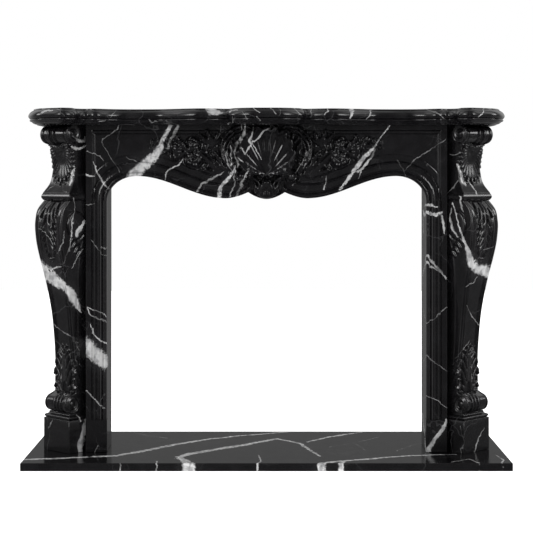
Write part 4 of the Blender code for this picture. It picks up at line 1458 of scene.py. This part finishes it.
@dataclass
class Frieze:
    """Carved slab over the opening."""

    front_y: float = -0.109
    back_y: float = -0.069
    top: float = 1.050
    half_length: float = 0.580
    opening: float = 0.514
    seam: float = 0.808
    fan_drop: float = 0.8135
    cusp: Spot = (0.059, 0.8356)
    low: Spot = (0.130, 0.816)
    apex: Spot = (0.419, 0.8876)
    border_levels: Spot = (1.0240, 1.0350)
    border_ends: Spot = (0.5510, 0.5595)
    border_depth: float = 1.9 * MILLIMETRE
    border_width: float = 1.3 * MILLIMETRE
    inner_line: float = 0.070

    def arch_height(self, x: np.ndarray) -> np.ndarray:
        """Height of the slab's lower edge.

        Args:
            x: places along it.

        Returns:
            The heights there.
        """
        x = np.abs(x)
        (cx, cz), (lx, lz), (ax, az) = self.cusp, self.low, self.apex
        middle = self.fan_drop + (cz - self.fan_drop) * (x / cx) ** 1.8
        hook = lz + (cz - lz) * np.clip((lx - x) / (lx - cx), 0, 1) ** 1.7
        rise = lz + (az - lz) * (1 - np.cos(math.pi * (x - lx) / (ax - lx))) / 2
        turn = self.seam + (az - self.seam) * half_round((x - ax) / (self.opening - ax))
        return np.select([x < cx, x < lx, x < ax, x < self.opening], [middle, hook, rise, turn], self.seam)

    def edge_line(self) -> Path:
        """The line that the moulding keeps its distance from.

        Returns:
            Its points: down beside the shell's foot, along the arch and down the pilaster.
        """
        curl = [(0.0400, 0.9050), (0.0345, 0.8900), (0.0345, 0.8740), (0.0430, 0.8540)]
        xs = np.linspace(self.cusp[0], self.apex[0], 60)
        arch = list(zip(xs, self.arch_height(xs)))
        (ax, az), reach = self.apex, self.opening - self.apex[0]
        turns = np.linspace(0, math.pi / 2, 24)[1:]
        haunch = [(ax + reach * math.sin(t), self.seam + (az - self.seam) * math.cos(t)) for t in turns]
        return curve(curl, 4) + arch + haunch + [(self.opening, self.seam - 0.1)]

    def columns(self) -> np.ndarray:
        """Places of the mesh's columns along the slab, closest at the carving.

        Returns:
            The places, from the left end to the right.
        """
        spans = ((0.0, 0.370, 0.00165), (0.370, 0.480, 0.0034))
        half = [0.0]
        for low, high, step in spans:
            half.extend(np.linspace(low, high, round((high - low) / step) + 1)[1:])
        reach = self.opening - self.apex[0]
        turns = np.linspace(math.asin((0.480 - self.apex[0]) / reach), math.pi / 2, 44)[1:]
        half.extend(self.apex[0] + reach * np.sin(turns))
        half.extend(np.arange(self.opening + 0.0016, 0.5655, 0.0016))
        half = np.array([*half, 0.570, self.half_length])
        return np.concatenate((-half[:0:-1], half))

    def rows(self, x: np.ndarray) -> np.ndarray:
        """Heights of the mesh's rows, closest at the moulding and at the top border.

        Args:
            x: places of the columns.

        Returns:
            Heights by column and row.
        """
        low = self.arch_height(x) + np.where(np.abs(x) >= self.opening, GAP, 0)
        slope = (self.arch_height(x + 0.001) - self.arch_height(x - 0.001)) / 0.002
        stretch = np.clip(np.hypot(1, slope), 1, 1.3)
        moulded = low[:, None] + MOULDING[:-1, 0] * stretch[:, None]
        border = np.array([1.0200, 1.0215, 1.0228, 1.0240, 1.0252, 1.0265, 1.0300, 1.0325, 1.0338, 1.0350,
                           1.0362, 1.0375, 1.0400, 1.0430, 1.0460, 1.0480, self.top])
        share = np.linspace(0, 1, 84)[1:-1]
        middle = moulded[:, -1:] + (border[0] - moulded[:, -1:]) * share
        return np.concatenate((moulded, middle, np.broadcast_to(border, (len(x), len(border)))), axis=1)

    def carve_shell(self, face: Relief) -> None:
        """Carves the shell, the palmette under it and the curls and knobs at its hinge.

        Args:
            face: the slab's front.
        """
        shell = [(0, 0.161), (0.26, 0.158), (0.50, 0.146), (0.76, 0.127), (1.01, 0.108), (1.22, 0.087),
                 (1.40, 0.070), (1.60, 0.052)]
        palmette = [(0, 0.060), (0.4, 0.058), (0.8, 0.056), (1.1, 0.050)]
        face.fan(0, 0.886, [-5.5, 5.5, 15.5, 28, 43.7, 58, 71, 84], shell, rise=0.0185, hollow=0.22, tip=0.05,
                 sharp=7.0, fade=0.85)
        face.fan(0, 0.876, [-8, 8, 22, 38, 54], palmette, rise=0.0120, hollow=0.35, tip=0.02, sharp=4.0,
                 down=True)
        curls = (
            (((0.070, 0.963), (0.078, 0.971), (0.083, 0.981)), 0.0042, 0.0195),
            (((0.076, 0.931), (0.085, 0.938), (0.089, 0.948)), 0.0040, 0.0190),
            (((0.066, 0.893), (0.044, 0.882), (0.027, 0.868), (0.022, 0.853), (0.030, 0.846)),
             0.0052, 0.0150),
            (((0.060, 0.884), (0.043, 0.872), (0.035, 0.858), (0.040, 0.852)), 0.0040, 0.0115),
        )
        knobs = ((0.0810, 0.9130, 0.0048, 0.0170), (0.0345, 0.8520, 0.0060, 0.0125),
                 (0.0130, 0.8860, 0.0075, 0.0200), (0.0120, 0.8710, 0.0055, 0.0165))
        for spots, width, rise in curls:
            face.rib(spots, width, rise)
        for x, z, radius, rise in knobs:
            face.ball(x, z, radius, rise)

    def carve_scroll(self, face: Relief) -> None:
        """Carves the C scroll beside the shell, with its two volutes and the acanthus inside it.

        Args:
            face: the slab's front.
        """
        bands = (
            (((0.052, 1.043), (0.066, 1.049), (0.090, 1.046), (0.109, 1.038), (0.127, 1.022),
              (0.1395, 1.004), (0.145, 0.985), (0.144, 0.962), (0.1395, 0.943), (0.131, 0.929),
              (0.117, 0.908), (0.103, 0.893)), 0.0052, 0.0150, 0.6),
            (((0.070, 1.040), (0.090, 1.036), (0.104, 1.028), (0.118, 1.014), (0.129, 0.999),
              (0.135, 0.984), (0.135, 0.962), (0.131, 0.946), (0.123, 0.933), (0.109, 0.914),
              (0.097, 0.900)), 0.0050, 0.0125, 0.5),
            (((0.084, 1.026), (0.100, 1.018), (0.112, 1.005), (0.120, 0.991), (0.1255, 0.975),
              (0.1255, 0.958), (0.121, 0.945), (0.112, 0.929), (0.101, 0.914), (0.094, 0.902)),
             0.0046, 0.0105, 0.4),
        )
        for spots, width, rise, taper in bands:
            face.rib(spots, width, rise, taper=taper, steps=4)
        leaves = (((0.112, 1.012), (0.104, 1.008), (0.095, 1.000), (0.090, 0.990)),
                  ((0.119, 0.996), (0.111, 0.993), (0.103, 0.985), (0.099, 0.973)),
                  ((0.092, 1.024), (0.085, 1.014), (0.084, 1.003)))
        for leaf in leaves:
            face.blade(leaf, width=0.0060, rise=0.0120, lobes=2, curl=0.0032)
        strands = (((0.099, 0.899), (0.1125, 0.9145), (0.1176, 0.930), (0.1150, 0.944), (0.1075, 0.9485)),
                   ((0.103, 0.899), (0.1215, 0.918), (0.1272, 0.938), (0.1235, 0.957), (0.1145, 0.968)),
                   ((0.094, 0.900), (0.1030, 0.912), (0.1070, 0.924), (0.1030, 0.933)))
        for strand in strands:
            face.rib(strand, width=0.0044, rise=0.0125, taper=0.6)
            face.ball(*strand[-1], radius=0.0046, rise=0.0135)
        face.button(0.0590, 1.0215, radius=0.0185, rise=0.0175)
        face.button(0.0800, 0.8865, radius=0.0195, rise=0.0175)

    def carve_spray(self, face: Relief) -> None:
        """Carves the spray: its stems and leaves, two open roses, two side roses and buds.

        Args:
            face: the slab's front.
        """
        stem = [(0.098, 0.884), (0.130, 0.900), (0.158, 0.925), (0.182, 0.950), (0.210, 0.971),
                (0.255, 0.971), (0.305, 0.980), (0.345, 0.992)]
        face.rib(stem, width=0.0042, rise=0.0065)
        leaves = (
            (((0.115, 0.888), (0.137, 0.912), (0.152, 0.940), (0.164, 0.962)), 0.0085, 2),
            (((0.125, 0.888), (0.160, 0.908), (0.186, 0.934), (0.216, 0.966)), 0.0100, 0),
            (((0.130, 0.884), (0.160, 0.894), (0.180, 0.900), (0.204, 0.907)), 0.0085, 3),
            (((0.150, 0.898), (0.166, 0.914), (0.184, 0.921), (0.197, 0.912)), 0.0056, 2),
            (((0.178, 0.982), (0.174, 0.996), (0.184, 1.014), (0.191, 1.033)), 0.0090, 3),
            (((0.174, 0.992), (0.164, 1.004), (0.158, 1.016), (0.152, 1.026)), 0.0072, 2),
            (((0.180, 0.994), (0.192, 1.002), (0.204, 1.010), (0.214, 1.024)), 0.0072, 2),
            (((0.176, 0.986), (0.166, 0.992), (0.156, 0.998), (0.149, 1.006)), 0.0060, 2),
            (((0.184, 0.990), (0.196, 0.996), (0.206, 1.000)), 0.0056, 2),
            (((0.169, 0.981), (0.177, 0.986), (0.187, 0.983), (0.192, 0.973), (0.189, 0.961)), 0.0050, 0),
            (((0.238, 0.970), (0.262, 0.962), (0.282, 0.950), (0.300, 0.942)), 0.0080, 3),
            (((0.262, 0.974), (0.276, 0.996), (0.284, 1.006), (0.288, 1.018)), 0.0068, 2),
            (((0.300, 0.978), (0.318, 0.970), (0.332, 0.960)), 0.0058, 2),
            (((0.305, 0.982), (0.312, 0.998), (0.318, 1.014)), 0.0058, 2),
            (((0.340, 0.992), (0.356, 0.984), (0.370, 0.975)), 0.0052, 2),
            (((0.206, 0.962), (0.214, 0.948), (0.218, 0.930)), 0.0060, 2),
            (((0.250, 0.968), (0.262, 0.980), (0.266, 0.994)), 0.0060, 2),
        )
        for spots, width, lobes in leaves:
            face.blade(spots, width, rise=0.0110, lobes=lobes, curl=width * 0.55)
        buds = ((0.1575, 0.957), (0.167, 0.963), (0.169, 0.954), (0.179, 0.967), (0.178, 0.896),
                (0.203, 0.907), (0.160, 0.890))
        for x, z in buds:
            face.ball(x, z, radius=0.0050, rise=0.0075)
        face.rose(0.235, 0.9900, radius=0.0210, rise=0.0170, turn=0.2)
        face.rose(0.233, 0.9430, radius=0.0265, rise=0.0190, turn=0.7)
        face.rose(0.286, 0.9770, radius=0.0190, rise=0.0150, turn=0.4)
        face.rose(0.292, 0.9560, radius=0.0120, rise=0.0085, turn=0.9)
        small_roses = ((0.288, 1.006, 0.0080), (0.325, 1.004, 0.0105), (0.345, 1.000, 0.0085),
                       (0.362, 0.996, 0.0095), (0.318, 0.986, 0.0085))
        for x, z, radius in small_roses:
            face.rose(x, z, radius, rise=0.0078, turn=x * 40)

    def surface(self, x: np.ndarray, z: np.ndarray) -> np.ndarray:
        """Height of the finished face over the slab's front plane.

        Args:
            x: places along the slab.
            z: places up.

        Returns:
            The heights there.
        """
        x = np.abs(x)
        distance = np.abs(follow(self.edge_line(), x, z)[1])
        at, rise = MOULDING.T
        plain = np.interp(distance, at, rise)
        for level, end in zip(self.border_levels, self.border_ends):
            across = ridge(z - level, self.border_width) * (x < end + 0.5 * MILLIMETRE)
            upright = ridge(x - end, self.border_width) * (z < level + 0.5 * MILLIMETRE)
            plain -= self.border_depth * (across + upright)
        panel = (distance > 0.060) & (x > 0.150) & (x < self.border_ends[0]) & (z < 1.022)
        plain -= np.where(panel, 2.0 * MILLIMETRE * ridge(distance - self.inner_line, 1.7 * MILLIMETRE), 0)
        shell_foot = (x < 0.0560) & (z < 0.905)
        plain = np.where(shell_foot, -8.0 * MILLIMETRE, plain)
        face = Relief(x, z, trench=5.0 * MILLIMETRE)
        self.carve_shell(face)
        self.carve_scroll(face)
        self.carve_spray(face)
        face.height *= smoothstep(self.top + 0.0005, self.top - 0.003, z)
        return face.over(plain)

    def build(self) -> bpy.types.Object:
        """Models the slab and puts it in place of its node.

        Returns:
            The new object.
        """
        x = self.columns()
        z = self.rows(x)
        xs = np.broadcast_to(x[:, None], z.shape)
        front = np.stack((xs, self.front_y - self.surface(xs, z), HEARTH_TOP + z), axis=-1)
        back_z = z[:, -1:] + (z[:, :1] - z[:, -1:]) * np.linspace(0, 1, 5)
        back_x = np.broadcast_to(x[:, None], back_z.shape)
        back = np.stack((back_x, np.full(back_z.shape, self.back_y), HEARTH_TOP + back_z), axis=-1)
        slab = wrapped("carved_frieze", np.concatenate((front, back), axis=1))
        stands_for(slab, "frieze")
        return slab


@dataclass
class Pilaster:
    """Upright beside the opening, with the frieze's moulding on its inner edge."""

    opening: float = 0.514
    outer: float = 0.580
    front_y: float = -0.109
    back_y: float = -0.069
    foot: float = 0.105
    seam: float = 0.808
    lines: tuple[Spot, ...] = ((0.551, 0.0016), (0.5595, 0.0018))
    line_width: float = 1.2 * MILLIMETRE

    def build(self) -> dict[Side, bpy.types.Object]:
        """Models both pilasters and puts them in place of their nodes.

        Returns:
            The pilaster of each side.
        """
        width = self.outer - self.opening
        plain = np.concatenate((np.arange(0.0505, width - 0.0012, 0.0008), [width - 0.0010, width]))
        level = np.zeros(len(plain))
        for line, depth in self.lines:
            level -= depth * ridge(plain + self.opening - line, self.line_width)
        level[-1] = -1.0 * MILLIMETRE
        distance, rise = np.concatenate((MOULDING.T, (plain, level)), axis=1)
        x = -self.opening - distance[::-1]
        y = self.front_y - rise[::-1]
        plan = [*zip(x, y), *((place, self.back_y) for place in x[::-1])]
        low, high = self.foot + GAP, self.seam
        heights = [low, *np.linspace(low + 0.001, high - 0.0005, 14), high]
        rings = np.array([[(px, py, HEARTH_TOP + z) for px, py in plan] for z in heights])
        left = wrapped("moulded_pilaster_left", rings, fold=True)
        right = mirrored(left, "moulded_pilaster_right")
        stands_for(left, "pilaster_left")
        stands_for(right, "pilaster_right")
        return {Side.LEFT: left, Side.RIGHT: right}


@dataclass
class Shelf:
    """Serpentine shelf with its moulded edge."""

    wall_y: float = 0.050
    top: float = 1.100
    thickness: float = 0.050
    steps: int = 124
    smoothings: int = 40
    edge: Path = ((0.0, -0.273), (0.045, -0.271), (0.083, -0.252), (0.106, -0.225), (0.121, -0.193),
                  (0.159, -0.209), (0.208, -0.222), (0.253, -0.206), (0.293, -0.181), (0.332, -0.160),
                  (0.371, -0.153), (0.420, -0.150), (0.466, -0.156), (0.502, -0.172), (0.545, -0.199),
                  (0.578, -0.189), (0.597, -0.205), (0.612, -0.262), (0.632, -0.273), (0.661, -0.257),
                  (0.704, -0.225), (0.729, -0.184), (0.744, -0.130), (0.747, -0.080), (0.747, -0.030))

    def profile(self) -> Path:
        """The moulding from the underside up.

        Returns:
            Points of depth below the top and reach beyond the edge line.
        """
        ovolo = np.linspace(0.0300, 0.0042, 16)
        swell = [(0.0040, 0.0020), (0.0090, 0.0100), (0.0160, 0.0155), (0.0240, 0.0170), (0.0302, 0.0128)]
        return [(0.0500, -0.0110), (0.0496, -0.0100), (0.0476, -0.0096), (0.0470, -0.0086),
                *arc((0.0468, -0.0086), (0.0400, 0.0062), -0.0022, 8), (0.0398, 0.0070), (0.0393, 0.0072),
                (0.0390, 0.0098), *arc((0.0388, 0.0102), (0.0315, 0.0102), -0.0030, 8), (0.0311, 0.0098),
                *zip(ovolo, through(swell, ovolo)), (0.0037, 0.0004), (0.0030, 0.0), (0.0008, 0.0),
                (0.0, -0.0008)]

    def outline(self) -> tuple[np.ndarray, np.ndarray]:
        """Edge line in plan with the way outward, from the left end to the right.

        Returns:
            The points and their unit vectors outward.
        """
        knots = np.array(self.edge)
        along = np.concatenate(([0], np.cumsum(np.hypot(*np.diff(knots.T)))))
        places = np.linspace(0, along[-1], self.steps)
        half = np.array([through(list(zip(along, values)), places) for values in knots.T]).T
        line = np.concatenate((half[:0:-1] * (-1, 1), half))
        tangent = np.gradient(line, axis=0)
        outward = np.stack((tangent[:, 1], -tangent[:, 0]), axis=1)
        for _ in range(self.smoothings):
            padded = np.pad(outward, ((1, 1), (0, 0)), mode="edge")
            outward = (padded[:-2] + 2 * padded[1:-1] + padded[2:]) / 4
        return line, outward / np.linalg.norm(outward, axis=1)[:, None]

    def build(self) -> bpy.types.Object:
        """Models the shelf and puts it in place of its node.

        Returns:
            The new object.
        """
        line, outward = self.outline()
        rings = []
        for depth, reach in self.profile():
            plan = line + outward * reach
            back = np.stack((plan[::-1, 0], np.full(len(plan), self.wall_y)), axis=1)
            ring = np.concatenate((plan, back))
            z = HEARTH_TOP + self.top - depth + (GAP if depth == self.thickness else 0)
            rings.append(np.column_stack((ring, np.full(len(ring), z))))
        shelf = wrapped("moulded_shelf", np.array(rings), fold=True)
        stands_for(shelf, "shelf")
        return shelf


@dataclass(frozen=True)
class Glow:
    """Soft bright part of the surroundings.

    Its edges are smooth steps: of the angle from straight before the mantel, in radians, and of the
    height, from -1 straight down to 1 straight up.
    """

    strength: float
    turns: tuple[Spot, ...]
    lifts: tuple[Spot, ...] = ()

    def seen(self, turn: Signal, up: Signal) -> Signal:
        """Brightness of this part in a direction.

        Args:
            turn: the direction's angle from straight before the mantel.
            up: its height.

        Returns:
            The brightness.
        """
        level = self.strength
        for low, high in self.turns:
            level = level * turn.step(low, high)
        for low, high in self.lifts:
            level = level * up.step(low, high)
        return level


@dataclass(frozen=True)
class Softbox:
    """Rectangular light on the right, whose twin stands on the left."""

    name: str
    place: Place
    size: Spot
    power: float
    aim: Place = (0.0, 0.0, 0.55)

    def build(self, side: Side) -> bpy.types.Object:
        """Adds the light on one side, facing the mantel.

        Args:
            side: the side it stands on.

        Returns:
            The light object.
        """
        x, y, z = self.place
        place = Vector((side.value * x, y, z))
        turn = (Vector(self.aim) - place).to_track_quat("-Z", "Y").to_euler()
        bpy.ops.object.light_add(type="AREA", location=place, rotation=turn)
        light = bpy.context.active_object
        light.name = f"{self.name}_light_{side.name.lower()}"
        light.data.shape = "RECTANGLE"
        light.data.size, light.data.size_y = self.size
        light.data.energy = self.power
        return light


@dataclass
class Studio:
    """Floor, lights and surroundings of the photograph."""

    dark: float = 0.02
    above: float = 0.19
    below: float = 0.06
    glows: tuple[Glow, ...] = (
        Glow(0.13, turns=((0.36, 0.04),)),
        Glow(0.14, turns=((1.0, 1.35),)),
        Glow(1.05, turns=((0.50, 0.85), (1.35, 1.05)), lifts=((-0.5, 0.1), (0.98, 0.70))),
        Glow(0.60, turns=((2.10, 2.45), (3.0, 2.6)), lifts=((-0.4, 0.1),)),
        Glow(1.30, turns=((1.25, 1.55), (2.10, 1.85)), lifts=((0.30, 0.55), (0.95, 0.80))))
    lights: tuple[Softbox, ...] = (
        Softbox("key", place=(3.6, -3.6, 2.6), size=(1.6, 2.3), power=85.0),
        Softbox("side", place=(3.4, 0.30, 1.90), size=(0.8, 1.1), power=14.0))

    def build(self) -> None:
        """Adds the camera, the floor, the lights and the surroundings."""
        CAMERA.build()
        bpy.ops.mesh.primitive_plane_add(size=14, location=(0, 0, -0.0005))
        floor = bpy.context.active_object
        floor.name = "studio_floor"
        pale = Graph(bpy.data.materials.new("pale_floor"))
        pale.feed(pale.shader.inputs["Base Color"], (0.9, 0.9, 0.9, 1))
        pale.feed(pale.shader.inputs["Roughness"], 0.7)
        pale.feed(pale.shader.inputs["Emission Color"], (1, 1, 1, 1))
        pale.feed(pale.shader.inputs["Emission Strength"], 1.0)
        floor.data.materials.append(pale.owner)
        floor.visible_glossy = False
        for side in Side:
            for light in self.lights:
                light.build(side)
        world = bpy.data.worlds.new("white_studio")
        bpy.context.scene.world = world
        room = Graph(world, "Background")
        axes = room.node("ShaderNodeSeparateXYZ", None, {0: room.node("ShaderNodeTexCoord").out("Generated")})
        across, depth, up = (axes.out(i) for i in range(3))
        turn = ((across * across) ** 0.5).bearing(depth * -1.0)
        level = self.dark + self.above * up ** 1.5 + self.below * (up * -1.0) ** 1.5
        for glow in self.glows:
            level = level + glow.seen(turn, up)
        seen = room.node("ShaderNodeLightPath").out("Is Camera Ray")
        room.feed(room.shader.inputs["Strength"], seen + (1.0 - seen) * level)
        room.feed(room.shader.inputs["Color"], (1, 1, 1, 1))
        bpy.context.scene.view_settings.view_transform = "Standard"
        log.info("studio ready")


def dress(pieces: Sequence[bpy.types.Object], marble: Marble) -> None:
    """Gives pieces their marble.

    Args:
        pieces: the stones.
        marble: the finish.
    """
    material = marble.material()
    for piece in pieces:
        piece.data.materials.clear()
        piece.data.materials.append(material)
        log.info("%s is in %s", piece.name, marble.name)


def main() -> None:
    """Builds the mantel stone by stone, then the studio."""
    logging.basicConfig(level=logging.INFO, format="%(name)s: %(message)s")
    legs = Leg().build()
    pilasters = Pilaster().build()
    frieze = Frieze().build()
    shelf = Shelf().build()
    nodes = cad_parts
    dress([frieze], Marble("frieze_marble", FRIEZE_VEINS, lean=0.2))
    dress([shelf], Marble("shelf_marble", SHELF_VEINS_AND_HIGHLIGHTS, plane_y=-0.21, lean=0.3, shallow=0.06))
    dress(legs[Side.LEFT] + [nodes["outer_return_left"]],
          Marble("left_leg_marble", LEFT_LEG_VEINS_AND_HIGHLIGHTS, plane_y=-0.0935))
    dress(legs[Side.RIGHT] + [nodes["outer_return_right"]],
          Marble("right_leg_marble", RIGHT_LEG_VEINS_AND_HIGHLIGHTS, plane_y=-0.0935))
    for side, veins in ((Side.LEFT, LEFT_PILASTER_VEINS), (Side.RIGHT, RIGHT_PILASTER_VEINS)):
        end = side.name.lower()
        stones = [pilasters[side], nodes[f"pilaster_plinth_{end}"], nodes[f"inner_return_{end}"]]
        dress(stones, Marble(f"{end}_pilaster_marble", veins, lean=0.5))
    dress([nodes["hearth_slab"]],
          Marble("hearth_marble", HEARTH_VEINS, sheet=Sheet.TOP, white=(0.66, 0.66, 0.66, 1)))
    Studio().build()


if __name__ == "__main__":
    main()
